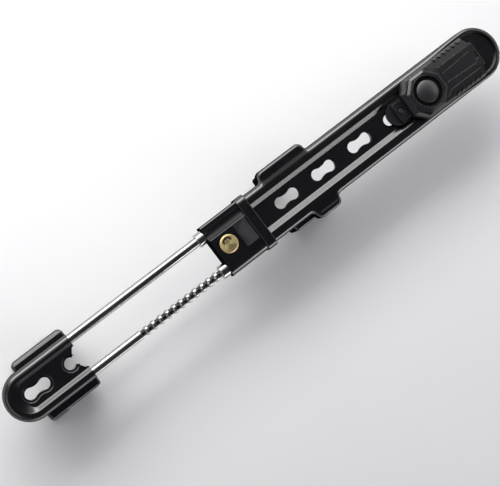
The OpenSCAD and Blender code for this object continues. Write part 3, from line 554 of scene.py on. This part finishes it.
def pressed_shell(bm, path, cavity, x_open, x_round, tip, flare=None):
    """A shell pressed from one sheet, straight from its open end to its round end.
    path and cavity are half sections outside and inside. tip holds what they turn into, where and over
    what way. flare holds the stations, another side for the section and its share there.
    Returns the edges of the flat web, outside and inside."""
    towards = 1 if x_round > x_open else -1
    stations = flare["stations"] if flare else [x_open, x_round]
    edge_r = path[0][0]

    def section(points, end, way, share=0):
        """The half section at a way along the edge past x_round, with a share of the flare."""
        if share > 0:
            side = [Vector(p).lerp(Vector(q), share) for p, q in zip(points, flare["side"])]
            points = side + points[SIDE_POINTS:]
        t = min(1, max(0, (way + abs(x_round - tip["start"])) / tip["way"]))
        turned = t * t * (3 - 2 * t)
        return [Vector(p).lerp(Vector(q), turned) for p, q in zip(points, end)]

    def straight(points, end, x, side, flared):
        """A ring across the straight part."""
        share = flare["share"](x, side) if flared else 0
        here = section(points, end, (x - x_round) * towards, share)
        return ring(bm, [(x, side * y, SHELL_Z + z) for y, z in here])

    webs, feet, ends = [], [], []
    for points, end, flared in ((path, tip["path"], bool(flare)), (cavity, tip["cavity"], False)):
        rings = [straight(points, end, x, 1, flared) for x in stations]
        for i in range(1, ROUND_STEPS):
            a = math.pi * i / ROUND_STEPS
            here = section(points, end, min(a, math.pi - a) * edge_r)
            rings.append(ring(bm, [(x_round + towards * y * math.sin(a), y * math.cos(a), SHELL_Z + z)
                                   for y, z in here]))
        rings += [straight(points, end, x, -1, flared) for x in reversed(stations)]
        skin(bm, rings, closed=False)
        webs.append([r[-1] for r in rings])
        feet.append([r[0] for r in rings])
        ends.append((rings[0], rings[-1]))
    bridge(bm, feet[0], feet[1], closed=False)
    for outer, inner in zip(ends[0], ends[1]):
        fill(bm, [outer + list(reversed(inner))])
    return webs


def keyhole(x):
    """Outline of a keyhole with two round lobes along the lock, anticlockwise."""
    a, r, waist = LOBE_SPACING / 2, LOBE_R, WAIST_HALF
    waist_r = (a * a + waist * waist - r * r) / (2 * (r - waist))
    touch = math.degrees(math.atan2(waist + waist_r, a))
    right = arc((a, 0), r, -180 + touch, 180 - touch, 24)
    top = arc((0, waist + waist_r), waist_r, -touch, -180 + touch, 12)[1:-1]
    return [(x + px, py) for px, py in right + top] + [(x - px, -py) for px, py in right + top]


def pressed_hole(bm, outline, levels):
    """A hole whose edge follows (growth, level) steps through the sheet."""
    rings = [ring(bm, [(px, py, z) for px, py in offset(outline, -grow)]) for grow, z in levels]
    skin(bm, rings)
    return rings[0], rings[-1]


def rolled(radius, grow, z, steps=4):
    """Growth and level of a rounded edge that turns down into a hole."""
    return [(grow + radius * (1 - math.sin(a)), z - radius * (1 - math.cos(a))) for a in quarter(steps)]


def wing_section(height, shoulder):
    """Side of the sheath at a wing, which reaches out to a round edge, its top slightly dished."""
    reach = high("sheath_shell").y
    edge_z = height - 0.4 * MM
    dish_z = edge_z - 0.6 * MM
    bend = 3 * MM
    points = [(reach, 0), (reach, edge_z), (37 * MM, edge_z), (34.4 * MM, dish_z), (31 * MM, dish_z),
              (25.5 * MM, height), (SHEATH_HALF - shoulder, height)]
    return spread(rounded(points, [0, 4 * MM, bend, bend, bend, bend, 0], 10), SIDE_POINTS)


def sheath_wings():
    """Each side's wing: its start, its end, and the radii of its corner and its blend."""
    end = high("rear_hook_left").x - 1 * MM
    corner = 7 * MM
    return {1: (SHEATH_X0 + 25.5 * MM, end, corner, 5 * MM),
            -1: (SHEATH_X0 + 55.2 * MM, end, corner, 6 * MM)}


def wing_share(x, side):
    """How much of a wing shows at a place along the sheath."""
    x0, x1, corner, blend = sheath_wings()[side]
    inside = min(x - x0, x1 - x)
    if inside <= -blend:
        return 0.0
    if inside >= corner:
        return 1.0
    if inside < 0:
        return (1 - math.sqrt(max(0, 1 - ((inside + blend) / blend) ** 2))) * blend / (blend + corner)
    rise = math.sqrt(max(0, 1 - ((corner - inside) / corner) ** 2))
    return (blend + corner * rise) / (blend + corner)


def sheath_stations(x_round, fade_x):
    """Places along the sheath where its section is drawn."""
    steps, pitch = 14, 4 * MM
    stations = {SHEATH_X0, x_round} | {round(fade_x + pitch * i, 6) for i in range(steps + 1)}
    for x0, x1, corner, blend in sheath_wings().values():
        for edge, into in ((x0, 1), (x1, -1)):
            ways = [(blend + corner) * i / steps - blend for i in range(steps + 1)]
            stations |= {round(edge + into * way, 6) for way in ways}
    return sorted(stations)


def make_sheath():
    """The sheath's pressed shell: two ridges, keyholes, a wing on each side and a dished round end."""
    height = CROWN_Z - SHELL_Z
    inner, inner_height = SHEATH_HALF - WALL, height - WALL
    shoulder, drop = 7 * MM, 4.5 * MM
    path = shell_section(SHEATH_HALF, shoulder, 13.4 * MM, 19.5 * MM, drop, height)
    cavity = shell_section(inner, shoulder - WALL, 14.2 * MM, 20.2 * MM, drop, inner_height)

    # The ridges sink and stand closer to the edge round the far end, which leaves a wide dish there
    sunk, crease = 1.5 * MM, 0.4 * MM
    x_round = SHEATH_X1 - SHEATH_HALF
    fade_x = x_round - 60 * MM
    tip = {"path": shell_section(SHEATH_HALF, 4 * MM, 24.2 * MM, 25.4 * MM, drop - sunk, height - sunk,
                                 crease),
           "cavity": shell_section(inner, 2 * MM, 24.8 * MM, 26 * MM, drop - sunk, inner_height - sunk,
                                   crease),
           "start": fade_x, "way": 50 * MM}

    bm = bmesh.new()
    flare = {"stations": sheath_stations(x_round, fade_x), "side": wing_section(height, shoulder),
             "share": wing_share}
    top, under = pressed_shell(bm, path, cavity, SHEATH_X0, x_round, tip, flare)
    top_z, under_z = top[0].co.z, under[0].co.z
    holes = [pressed_hole(bm, keyhole(SHEATH_X0 + FIRST_KEYHOLE + i * KEYHOLE_PITCH),
                          rolled(0.6 * MM, 0, top_z) + [(0, under_z)]) for i in range(KEYHOLES)]
    fill(bm, [top] + [h[0] for h in holes])
    fill(bm, [under] + [h[1] for h in holes])
    bm.faces.new([top[0], top[-1], under[-1], under[0]])
    new_piece("sheath_pressing", bm, "sheath_shell")


def claw_bay(bm, grow, z):
    """The claw's open notch and the bay between its rods, grown by a margin."""
    notch_x, notch_r = CLAW_X1 - 14 * MM, LOBE_R + grow
    mouth = 4.3 * MM + min(grow, 1.2 * MM)
    touch = math.degrees(math.asin(mouth / notch_r))
    half = []
    for side, slant in ((1, 3 * MM), (-1, 1.2 * MM)):
        wall_x = CLAW_X1 - 8.5 * MM + slant
        edge = [(CLAW_X1, 13.8 * MM), (wall_x + slant, 13 * MM), (wall_x - slant * 0.8, mouth + 1.2 * MM),
                (wall_x - slant, mouth + 0.3 * MM), (wall_x - slant - 0.4 * MM, mouth)]
        edge += arc((notch_x, 0), notch_r, touch, 180, 18)
        half.append([(x, side * y, z) for x, y in edge])
    return ring(bm, half[0] + list(reversed(half[1][:-1])))


def make_claw():
    """The claw's pressed shell: a keyhole with a stepped rim, and an open notch."""
    height = CROWN_Z - SHELL_Z
    inner, inner_height = CLAW_HALF - WALL, height - WALL
    shoulder, drop = 7.5 * MM, 3.6 * MM
    web, ridge, inwards = 14.8 * MM, 19.4 * MM, 0.7 * MM
    path = shell_section(CLAW_HALF, shoulder, web, ridge, drop, height)
    cavity = shell_section(inner, shoulder - WALL, web + inwards, ridge + inwards, drop, inner_height)

    # The ridges sink round the tip, and their inner slopes grow wide
    sunk, crease, tip_web = 1.4 * MM, 2 * MM, 9.6 * MM
    x_round = CLAW_X0 + CLAW_HALF
    tip = {"path": shell_section(CLAW_HALF, shoulder, tip_web, ridge, drop - sunk, height - sunk, crease),
           "cavity": shell_section(inner, shoulder - WALL, tip_web + inwards, ridge + inwards, drop - sunk,
                                   inner_height - sunk, crease),
           "start": x_round, "way": 27 * MM}

    bm = bmesh.new()
    top, under = pressed_shell(bm, path, cavity, CLAW_X1, x_round, tip)
    top_z, under_z = top[0].co.z, under[0].co.z
    back_z = SHELL_Z + 2.6 * MM
    mouth_grow, ledge_z = 2.1 * MM, top_z - 3.0 * MM
    pressed_depth = rolled(1.2 * MM, mouth_grow, top_z)
    pressed_depth += [(mouth_grow, ledge_z + 0.3 * MM), (mouth_grow - 0.3 * MM, ledge_z)]
    pressed_depth += rolled(0.4 * MM, 0, ledge_z, 3)
    outside = 3.4 * MM
    lip = pressed_hole(bm, keyhole(CLAW_X0 + 39 * MM),
                       pressed_depth + [(0, back_z), (outside, back_z), (outside, under_z)])

    outside = 2 * MM
    rings = [claw_bay(bm, grow, z)
             for grow, z in pressed_depth + [(0, back_z), (outside, back_z), (outside, under_z)]]
    skin(bm, rings, closed=False)
    fill(bm, [top + list(reversed(rings[0])), lip[0]])
    fill(bm, [under + list(reversed(rings[-1])), lip[1]])
    for side in (0, -1):
        fill(bm, [[top[side]] + [r[side] for r in rings] + [under[side]]])
    new_piece("claw_pressing", bm, "claw_shell")


# ---- hooks ----

# The bend at a hook's back, and how thick its finger and its arm are
HOOK_BEND = 20 * MM
FINGER_T, ARM_T = 9 * MM, 8 * MM

# How far a flange's top falls to its edge, and how far the hook's side stays behind that edge
FLANGE_FALL = 2.6 * MM
FLANGE_STEP = 2.5 * MM


def hook_outline(leg, reach):
    """Side view of a hook with its mouth towards +x, its seat's centre at the origin."""
    base, top, back = -SEAT_R - FINGER_T, SEAT_R + ARM_T, -SEAT_R - leg
    corner = 3 * MM
    return ([(back + HOOK_BEND, base)]
            + arc((reach - FINGER_T / 2, base + FINGER_T / 2), FINGER_T / 2, -90, 90, 14)
            + arc((0, 0), SEAT_R, -90, -270, 40)
            + arc((reach - ARM_T / 2, SEAT_R + ARM_T / 2), ARM_T / 2, -90, 90, 14)
            + arc((back + corner, top - corner), corner, 90, 180, 6)
            + arc((back + HOOK_BEND, base + HOOK_BEND), HOOK_BEND, 180, 264, 18))


def add_flanges(bm, flanges, side):
    """Flanges of (x0, x1, inner, outer) beside an arm, their tops falling towards their edges."""
    foot, top = SHELL_Z - ARM_T + 0.4 * MM, SHELL_Z - 0.02 * MM
    radii = [0.5 * MM, 0.5 * MM, 6 * MM, 6 * MM]
    for x0, x1, y0, y1 in flanges:
        outline = rounded([(x0, y0), (x1, y0), (x1, y1), (x0, y1)], radii, 8, True)
        slab(bm, outline, foot, top, 2.6 * MM, steps=6, place=lambda x, y, z: (x, side * y, z))
    cuts = 12
    bend_y, edge_y = CLAW_HALF - 1 * MM, max(f[3] for f in flanges)
    cut_across(bm, [side * (bend_y + (edge_y - bend_y) * i / cuts) for i in range(cuts)])
    for v in bm.verts:
        v.co.z -= FLANGE_FALL * max(0, (abs(v.co.y) - bend_y) / (edge_y - bend_y)) ** 2


def hook_ends(node, seat, mouth):
    """How thick a hook's back is, and how far its tips reach past its seat's centre."""
    behind, ahead = sorted((x - seat.x) * mouth for x in span_x(node))
    return -behind - SEAT_R, ahead


def make_hook(node, seat, mouth, side, flanges=()):
    """A coated hook with rounded edges. mouth is the way it opens along X, side its side along Y."""
    leg, reach = hook_ends(node, seat, mouth)
    inner, outer = sorted((abs(low(node).y), abs(high(node).y)))
    bm = bmesh.new()
    if flanges:
        outer -= FLANGE_STEP
        add_flanges(bm, flanges, side)
    slab(bm, hook_outline(leg, reach), inner, outer, 3 * MM,
         place=lambda x, z, y: (seat.x + mouth * x, side * y, seat.z + z))
    new_piece(node + "_coated", bm, node)


def make_hooks():
    """The front hooks, with flanges that show beside the claw, and the rear hooks."""
    x0, x1 = span_x("front_hook_left")
    wide = high("front_hook_left").y
    make_hook("front_hook_left", FRONT_SEAT, -1, 1, [(x0, x1, 24 * MM, wide)])
    wide = -low("front_hook_right").y
    make_hook("front_hook_right", FRONT_SEAT, -1, -1,
              [(x0, FRONT_SEAT.x - 3.6 * MM, 24 * MM, wide), (x0 + 2 * MM, x1, 23 * MM, wide - 1.8 * MM)])
    make_hook("rear_hook_left", REAR_SEAT, 1, 1)
    make_hook("rear_hook_right", REAR_SEAT, 1, -1)


def make_rivets(node, seat, mouth, hook):
    """Dome-headed rivets under the hooks' arms."""
    leg = hook_ends(hook, seat, mouth)[0]
    head, shank, dome = 4.6 * MM, 3 * MM, 1.3 * MM
    row = high(node).y - head
    seat_z, end_z = SHELL_Z - ARM_T + SEAT_GAP, high(node).z
    profile = [(head * math.sin(a), seat_z - dome * math.cos(a)) for a in quarter(7)]
    profile += [(shank, seat_z), (shank, end_z), (0, end_z)]
    bm = bmesh.new()
    for x in (seat.x - mouth * (SEAT_R + leg / 2), seat.x + mouth * 14 * MM):
        for y in (-row, row):
            lathe(bm, profile, lambda px, py, h: (x + px, y + py, h), 32)
    new_piece(node + "_domed", bm, node)


# ---- rods and lock body ----

# Ratchet notches: their pitch, the radius at their floor, its length and the ramp out of it
NOTCH_PITCH, NOTCH_R, NOTCH_FLAT, NOTCH_RAMP = 9.5 * MM, 3.6 * MM, 3.9 * MM, 2.8 * MM
NOTCHES = range(-14, 7)


def make_rod(node, notches):
    """A polished rod turned along X, with its end stop's groove and a row of ratchet notches."""
    x0, x1 = span_x(node)
    stop_x0, stop_x1 = low("rod_stops").x - SEAT_GAP, high("rod_stops").x + SEAT_GAP
    groove_r = ROD_R - 1 * MM
    y, chamfer, edge = middle(node).y, 0.8 * MM, 0.22 * MM
    points = [(0, x0), (ROD_R - chamfer, x0), (ROD_R, x0 + chamfer)]
    radii = [0, 0, 0]
    for i in notches:
        notch_x0 = PLUG.x + i * NOTCH_PITCH - NOTCH_FLAT / 2
        notch_x1 = notch_x0 + NOTCH_FLAT
        points += [(ROD_R, notch_x0), (NOTCH_R, notch_x0), (NOTCH_R, notch_x1),
                   (ROD_R, notch_x1 + NOTCH_RAMP)]
        radii += [edge, edge, edge, edge * 2]
    points += [(ROD_R, stop_x0), (groove_r, stop_x0), (groove_r, stop_x1), (ROD_R, stop_x1),
               (ROD_R, x1 - chamfer), (ROD_R - chamfer, x1), (0, x1)]
    radii += [edge, 0, 0, edge, 0, 0, 0]
    bm = bmesh.new()
    lathe(bm, rounded(points, radii, 3), lambda a, b, h: (h, y + a, ROD_Z + b), 72)
    piece = new_piece(node + "_polished", bm, node, smooth=50)
    if notches:
        piece.data.materials[0] = MATERIALS["notched_chrome"]


def make_ferrules():
    """Polished rings round the rods where they enter the lock body, with rounded rims."""
    x0, x1 = span_x("ferrules")
    outer = (high("ferrules").z - low("ferrules").z) / 2
    bore = ROD_R + 0.05 * MM
    profile = rounded([(bore, x1), (bore, x0), (outer, x0), (outer, x1), (bore, x1)],
                      [0, 0.4 * MM, 0.9 * MM, 0.3 * MM, 0], 5)
    bm = bmesh.new()
    for y in (-ROD_Y, ROD_Y):
        lathe(bm, profile, lambda a, b, h: (h, y + a, ROD_Z + b), 72)
    new_piece("ferrules_polished", bm, "ferrules", smooth=50)


def keyway_outline():
    """A curved slot with round ends, and a small tick at its middle towards the plug's axis."""
    centre, r, half = (PLUG.x, PLUG.y + 2.2 * MM), 4.7 * MM, 0.8 * MM
    tick_half, tick_y = 0.5 * MM, PLUG.y + 4.5 * MM
    first, last = 10, 170
    tick = math.degrees(tick_half / (r - half))

    def end_cap(angle, start):
        """The round end at an angle of the slot, without its two end points."""
        return arc(arc(centre, r, angle, angle, 1)[0], half, start, start + 180, 8)[1:-1]

    return (arc(centre, r + half, first, last, 24)
            + end_cap(last, last)
            + arc(centre, r - half, last, 90 + tick, 12)
            + [(PLUG.x - tick_half, tick_y), (PLUG.x + tick_half, tick_y)]
            + arc(centre, r - half, 90 - tick, first, 12)
            + end_cap(first, first + 180))


def make_plug():
    """Brass plug with a bevelled rim, a fine groove inside it and a curved keyway."""
    base, top = span_z("key_plug")
    segments, bevel = 96, 0.8 * MM
    profile = [(0, base), (PLUG_R, base)]
    profile += [(PLUG_R - bevel * (1 - math.cos(a)), top - bevel + bevel * math.sin(a)) for a in quarter(6)]
    rim_r = PLUG_R - bevel
    profile += [(rim_r - 0.25 * MM, top - 0.02 * MM), (rim_r - 0.5 * MM, top - 0.22 * MM),
                (rim_r - 0.75 * MM, top - 0.05 * MM)]
    bm = bmesh.new()
    lathe(bm, profile, lambda a, b, h: (PLUG.x + a, PLUG.y + b, h), segments)
    bm.verts.ensure_lookup_table()
    rim = list(bm.verts)[-segments:]
    face_z = rim[0].co.z
    keyway = rolled(0.15 * MM, 0, face_z, 2) + [(0, face_z - 2.6 * MM)]
    mouth, keyway_floor = pressed_hole(bm, keyway_outline(), keyway)
    fill(bm, [rim, mouth])
    fill(bm, [keyway_floor])
    new_piece("key_plug_turned", bm, "key_plug", smooth=30)


# ---- siren ----

def octagon(half, x, steps=8):
    """An octagon of given half width across its flats, as 8 * steps points anticlockwise."""
    corners = arc((x, 0), half / math.cos(math.pi / 8), 22.5, 382.5, 8)
    out = []
    for a, b in zip(corners, corners[1:]):
        out += [tuple(Vector(a).lerp(Vector(b), i / steps)) for i in range(steps)]
    return out


def make_bezel():
    """Octagonal collar with sloped flats, stepping to a grooved ring round the button."""
    x, half = BUTTON.x, (high("alarm_bezel").y - low("alarm_bezel").y) / 2
    z0, z1 = span_z("alarm_bezel")
    skirt = z0 - 2.3 * MM
    flats = [(half - 0.6 * MM, skirt), (half, skirt + 0.5 * MM), (half, z0 + 0.35 * MM),
             (half - 0.25 * MM, z0 + 0.6 * MM), (half - 2.4 * MM, z1 - 0.25 * MM), (half - 2.8 * MM, z1)]
    groove, hole, depth = 19.9 * MM, 17.2 * MM, 0.5 * MM
    turned = [(groove, z1), (groove - 0.2 * MM, z1 - 0.1 * MM), (groove - 0.3 * MM, z1 - depth),
              (groove - 0.8 * MM, z1 - depth), (groove - 0.9 * MM, z1 - 0.1 * MM), (groove - 1.1 * MM, z1),
              (hole + 0.5 * MM, z1), (hole + 0.1 * MM, z1 - 0.15 * MM), (hole, z1 - depth),
              (hole, z0 - depth)]
    loops = [(octagon(width, x), z) for width, z in flats]
    count = len(loops[0][0])
    loops += [(arc((x, 0), r, 22.5, 382.5, count)[:-1], z) for r, z in turned]
    bm = bmesh.new()
    rings = [ring(bm, [(px, py, z) for px, py in loop]) for loop, z in loops]
    skin(bm, rings + rings[:1])
    new_piece("alarm_bezel_faceted", bm, "alarm_bezel", smooth=25)


def make_seal():
    """Rubber ring round the button: a high outer lip and a small rib on its floor."""
    z0, z1 = span_z("button_seal")
    outer, rib, inner = 17.1 * MM, 14.9 * MM, 13.4 * MM
    floor_z, foot_z, lip_z = z0 + 0.15 * MM, z0 - 0.2 * MM, z1 + 0.7 * MM
    profile = [(outer, foot_z), (outer, lip_z - 0.2 * MM), (outer - 0.2 * MM, lip_z),
               (outer - 0.5 * MM, lip_z - 0.2 * MM), (outer - 0.7 * MM, floor_z), (rib + 0.3 * MM, floor_z),
               (rib, floor_z + 0.3 * MM), (rib - 0.3 * MM, floor_z), (inner, floor_z), (inner, foot_z),
               (outer, foot_z)]
    bm = bmesh.new()
    lathe(bm, profile, lambda a, b, h: (BUTTON.x + a, b, h), 96)
    new_piece("button_seal_ribbed", bm, "button_seal", smooth=60)


def make_button():
    """Domed button with a soft rolled edge and a retaining flange."""
    z0, top = span_z("alarm_button")
    r, dome, flange, roll = 13 * MM, 2.6 * MM, 1.6 * MM, 0.9 * MM
    crown = (r * r + dome * dome) / (2 * dome)
    side_z = top - dome - 0.7 * MM
    profile = [(0, z0), (r + flange, z0), (r + flange, z0 + flange), (r, z0 + flange), (r, side_z)]
    profile += [(r - roll * (1 - math.cos(a)), side_z + roll * math.sin(a))
                for a in (math.radians(12 * i) for i in range(1, 6))]
    dome_r = [profile[-1][0] * (1 - i / 14) for i in range(1, 15)]
    profile += [(here, top - crown + math.sqrt(crown ** 2 - here ** 2)) for here in dome_r]
    bm = bmesh.new()
    lathe(bm, profile, lambda a, b, h: (BUTTON.x + a, b, h), 96)
    new_piece("alarm_button_domed", bm, "alarm_button", smooth=40)


# The case's flat middle, and how its top falls away beside it
PANEL_HALF = 13.9 * MM
PANEL_FALL = math.tan(math.radians(11))

# Raised lines on the case and its door
RIB_HALF, RIB_HEIGHT, RIB_FOOT = 0.4 * MM, 0.42 * MM, -0.25 * MM


def case_level(y):
    """Level of the case's top: flat in the middle, falling towards the sides."""
    return CASE_TOP - max(0, abs(y) - PANEL_HALF) * PANEL_FALL


def case_line(bm, *points):
    """Fine raised lines on the case's top, from each point to the next."""
    across = [(1.0, RIB_FOOT), (0.8, 0.6 * RIB_HEIGHT), (0.35, RIB_HEIGHT)]
    across += [(-k, h) for k, h in reversed(across)]
    for a, b in zip(points, points[1:]):
        a, b = Vector((*a, case_level(a[1]))), Vector((*b, case_level(b[1])))
        side = (b - a).cross(Vector((0, 0, 1))).normalized() * RIB_HALF
        first, last = [ring(bm, [p + side * k + Vector((0, 0, h)) for k, h in across]) for p in (a, b)]
        bridge(bm, first, last)
        bm.faces.new(first)
        bm.faces.new(list(reversed(last)))


def make_case():
    """The siren's case, its top falling towards the sides, with lines beside the door."""
    bm = cad_copy("alarm_case")
    cut_across(bm, (-20 * MM, -PANEL_HALF, PANEL_HALF, 20 * MM))
    for v in bm.verts:
        if v.co.z > CASE_TOP - NEAR:
            v.co.z = case_level(v.co.y)
    round_edges(bm, 0.55 * MM)
    x0, x1 = span_x("battery_door")
    for side in (-1, 1):
        beside_y = side * 14.6 * MM
        case_line(bm, (x0 - 0.5 * MM, beside_y), (x0 - 12 * MM, side * 21.5 * MM))
        case_line(bm, (x0 - 0.5 * MM, beside_y), (x1 - 9 * MM, beside_y))
        case_line(bm, (x0 - 0.8 * MM, side * 5.6 * MM), (x0 - 9 * MM, side * 15 * MM))
    new_piece("alarm_case_moulded", bm, "alarm_case", smooth=35)


def make_door():
    """The battery door, its middle panel between two lines that spread towards the latch."""
    bm = cad_copy("battery_door")
    x0, x1 = span_x("battery_door")
    round_edges(bm, 0.35 * MM)
    for side in (-1, 1):
        corner = (x1 - 9 * MM, side * 7.9 * MM)
        case_line(bm, (x0 + 0.8 * MM, side * 5.6 * MM), corner, (x1 - 4.5 * MM, side * 4.6 * MM))
        case_line(bm, corner, (x1 - 9 * MM, side * 12.6 * MM))
    new_piece("battery_door_moulded", bm, "battery_door", smooth=35)


def make_base():
    """The case's base, with the raised pad on its tab round the screw."""
    bm = cad_copy("alarm_base")
    round_edges(bm, 0.5 * MM)
    screw = middle("tab_screw")
    tab_z = high("tab_screw").z - 0.6 * MM
    x0, x1, half = screw.x - 7.2 * MM, screw.x + 8 * MM, 11.2 * MM
    outer, inner = 2.6 * MM, 0.5 * MM
    pad = rounded([(x0, -half), (x1, -half), (x1, half), (x0, half)], [outer, inner, inner, outer], 2, True)
    hole = arc((screw.x, screw.y), 4 * MM, 0, 360, 40)[:-1]
    slab(bm, pad, tab_z - 0.6 * MM, tab_z + 0.9 * MM, 0.35 * MM, hole, 0.3 * MM)
    new_piece("alarm_base_moulded", bm, "alarm_base", smooth=35)


def housing_path(foot, half, top, wide):
    """The housing's new side: a cove from the cover plate, a tight edge and the wall below it."""
    tight, deep, rise, steps = 2.6 * MM, 2.4 * MM, 1.35 * MM, 40
    start = half - tight
    path = []
    for i in range(steps + 1):
        t = 1 - i / steps
        if t < 0.5:
            fall = deep * (1 - math.cos(2 * math.pi * t)) / 2
        else:
            fall = deep - rise * (2 * t - 1) ** 1.8
        path.append((start + (foot.x - start) * t, top - fall))
    return path + arc((start, top - tight), tight, 90, 0, 10)[1:] + [(half, top - wide)]


def make_housing():
    """The lock housing, each point of its CAD side moved to the same share of the new side."""
    bm = cad_copy("lock_housing")
    top, half = high("lock_housing").z, high("lock_housing").y
    wide, drop = 9 * MM, 2.6 * MM
    centre = Vector((half - wide, top - wide))
    crown = Vector((half - wide, top))
    foot = Vector((high("lock_cover").y + 0.9 * MM, top - drop))
    slope = crown - foot
    join = crown - slope * (2 * drop * wide / slope.length_squared)
    first = math.atan2(join.x - centre.x, join.y - centre.y)
    flat_part = (join - foot).length
    whole = flat_part + wide * (math.pi / 2 - first)
    path = housing_path(foot, half, top, wide)

    round_y = 28 * MM
    cut_across(bm, [foot.x + (round_y - foot.x) * i / 14 for i in range(1, 15)]
               + [round_y + 0.2 * MM * i for i in range(1, 14)])
    end_x = low("collar_band").x + NEAR
    for v in bm.verts:
        if v.co.x > end_x or v.co.y < foot.x - MERGE:
            continue
        here = Vector((v.co.y, v.co.z))
        angle = math.atan2(here.x - centre.x, here.y - centre.y)
        off_slope = abs((here - foot).cross(slope.normalized()))
        off_round = abs((here - centre).length - wide)
        share = None
        if off_round < 3 * NEAR and first - 0.01 < angle < math.pi / 2 + 0.01:
            share = (flat_part + wide * (angle - first)) / whole
        elif off_slope < 2 * NEAR and here.x < join.x and here.y > foot.y - MERGE:
            share = (here - foot).length / whole
        if share is not None:
            v.co.y, v.co.z = point_on(path, share)
    round_edges(bm, 0.45 * MM, angle=32)
    new_piece("lock_housing_finished", bm, "lock_housing", smooth=35)


def make_cover():
    """The lock's cover plate, its two long edges chamfered so that they catch the light."""
    bm = cad_copy("lock_cover")
    edge, fall = 1.3 * MM, 0.7 * MM
    half, top = high("lock_cover").y, high("lock_cover").z
    cut_across(bm, [edge - half, half - edge])
    for v in bm.verts:
        if abs(v.co.y) > half - NEAR and v.co.z > top - NEAR:
            v.co.z -= fall
    round_edges(bm, 0.2 * MM)
    new_piece("lock_cover_finished", bm, "lock_cover", smooth=35)


make_sheath()
make_claw()
make_hooks()
make_rivets("front_rivets", FRONT_SEAT, -1, "front_hook_left")
make_rivets("rear_rivets", REAR_SEAT, 1, "rear_hook_left")
make_rod("plain_rod", ())
make_rod("notched_rod", NOTCHES)
make_ferrules()
make_plug()
make_bezel()
make_seal()
make_button()
make_case()
make_door()
make_base()
make_housing()
make_cover()
for name, width in (("collar_band", 1.3), ("blank_plate", 0.15), ("tab_screw", 0.2)):
    make_rounded_copy(name, width * MM)


# ---- studio ----

def floor():
    """A wide sheet of white paper under the lock."""
    bm = bmesh.new()
    size = 3.0
    bm.faces.new(ring(bm, [(-size, -size, 0), (size, -size, 0), (size, size, 0), (-size, size, 0)]))
    piece = link_mesh("studio_floor", bm)
    tree, shader = tree_of("studio_paper", Roughness=0.8)
    dress(tree, shader, ramp(tree, noise(tree, 3, 3), (0.2, 0.85), (0.8, 0.88)), None,
          (noise(tree, 500), 0.05, FINE_RELIEF))
    piece.data.materials.append(MATERIALS["studio_paper"])


def placed(centre, right, up, back):
    """A place and its three axes, for a light or a camera that looks along -back."""
    return Matrix.Translation(centre) @ Matrix((right, up, back)).transposed().to_4x4()


def softbox(name, width, height, power):
    """A rectangular light, its power given for each square metre."""
    data = bpy.data.lights.new(name, "AREA")
    data.shape = "RECTANGLE"
    data.size, data.size_y = width, height
    data.energy = power * width * height
    light = bpy.data.objects.new(name, data)
    bpy.context.scene.collection.objects.link(light)
    return light


def long_light(name, near, far, start, end, power):
    """A softbox along the lock, from x = start to x = end, between two (y, z) places."""
    low_edge, high_edge = Vector((0, *near)), Vector((0, *far))
    light = softbox(name, end - start, (high_edge - low_edge).length, power)
    up = (high_edge - low_edge).normalized()
    along = Vector((1, 0, 0))
    back = along.cross(up)
    if back.dot(low_edge) < 0:
        along, back = -along, -back
    centre = (low_edge + high_edge) / 2 + Vector(((start + end) / 2, 0, 0))
    light.matrix_world = placed(centre, along, up, back)


def end_light(name, side, power):
    """A softbox past one end of the lock, for thin lights on the edges that face it."""
    light = softbox(name, 1.4, 0.5, power)
    light.location = (side * 1.35, 0, 1.0)
    light.rotation_euler = light.location.to_track_quat("Z", "Y").to_euler()


def studio():
    """A dim sky, a tall key light on the far side and low fill lights on the near side."""
    world = bpy.data.worlds.new("studio")
    world.use_nodes = True
    tree = world.node_tree
    coords = add(tree, "ShaderNodeTexCoord")
    height = add(tree, "ShaderNodeSeparateXYZ", {0: coords.outputs["Generated"]}).outputs[2]
    horizon, sky, zenith = (0.50, 0.51, 0.55), (0.20, 0.205, 0.23), (0.05, 0.05, 0.06)
    glow = ramp(tree, height, (0.0, horizon), (0.35, sky), (0.75, zenith))
    tree.links.new(glow, tree.nodes["Background"].inputs[0])
    bpy.context.scene.world = world
    bpy.context.scene.view_settings.view_transform = "Standard"
    long_light("key_light", (1.75, 0.25), (0.85, 1.15), -1.1, 1.5, 6)
    long_light("key_edge", (0.85, 1.15), (0.5, 1.5), -1.1, 1.5, 2.2)
    long_light("key_core", (1.35, 0.62), (0.95, 1.0), -0.8, 1.2, 16)
    long_light("fill_light", (-1.5, 0.07), (-1.42, 0.46), 0.1, 1.5, 17)
    long_light("claw_fill", (-1.5, 0.02), (-1.48, 0.2), -1.3, 0.1, 16)
    end_light("near_end_light", -1, 3)
    end_light("far_end_light", 1, 6)


def camera():
    """Looks down on the lock from over the claw's end, so that the lock rises to the right.
    Its place and lens are fitted to the photo's perspective."""
    target = Vector((CLAW_X0 + 316.6 * MM, -14.8 * MM, ROD_Z))
    distance = 1.4672
    back_tilt, side_tilt, roll = math.radians(11.56), math.radians(-3.22), math.radians(37.58)
    away = Vector((-math.sin(back_tilt) * math.cos(side_tilt), -math.sin(side_tilt),
                   math.cos(back_tilt) * math.cos(side_tilt)))
    right = (Vector((1, 0, 0)) - away * away.x).normalized()
    up = away.cross(right)
    turned_right = right * math.cos(roll) - up * math.sin(roll)
    turned_up = right * math.sin(roll) + up * math.cos(roll)
    data = bpy.data.cameras.new("photo_view")
    data.sensor_width = 36
    data.lens = 96.1272
    data.clip_end = 20
    view = bpy.data.objects.new("photo_view", data)
    view.matrix_world = placed(target + away * distance, turned_right, turned_up, away)
    bpy.context.scene.collection.objects.link(view)
    bpy.context.scene.camera = view


floor()
studio()
camera()

bpy.context.view_layer.update()
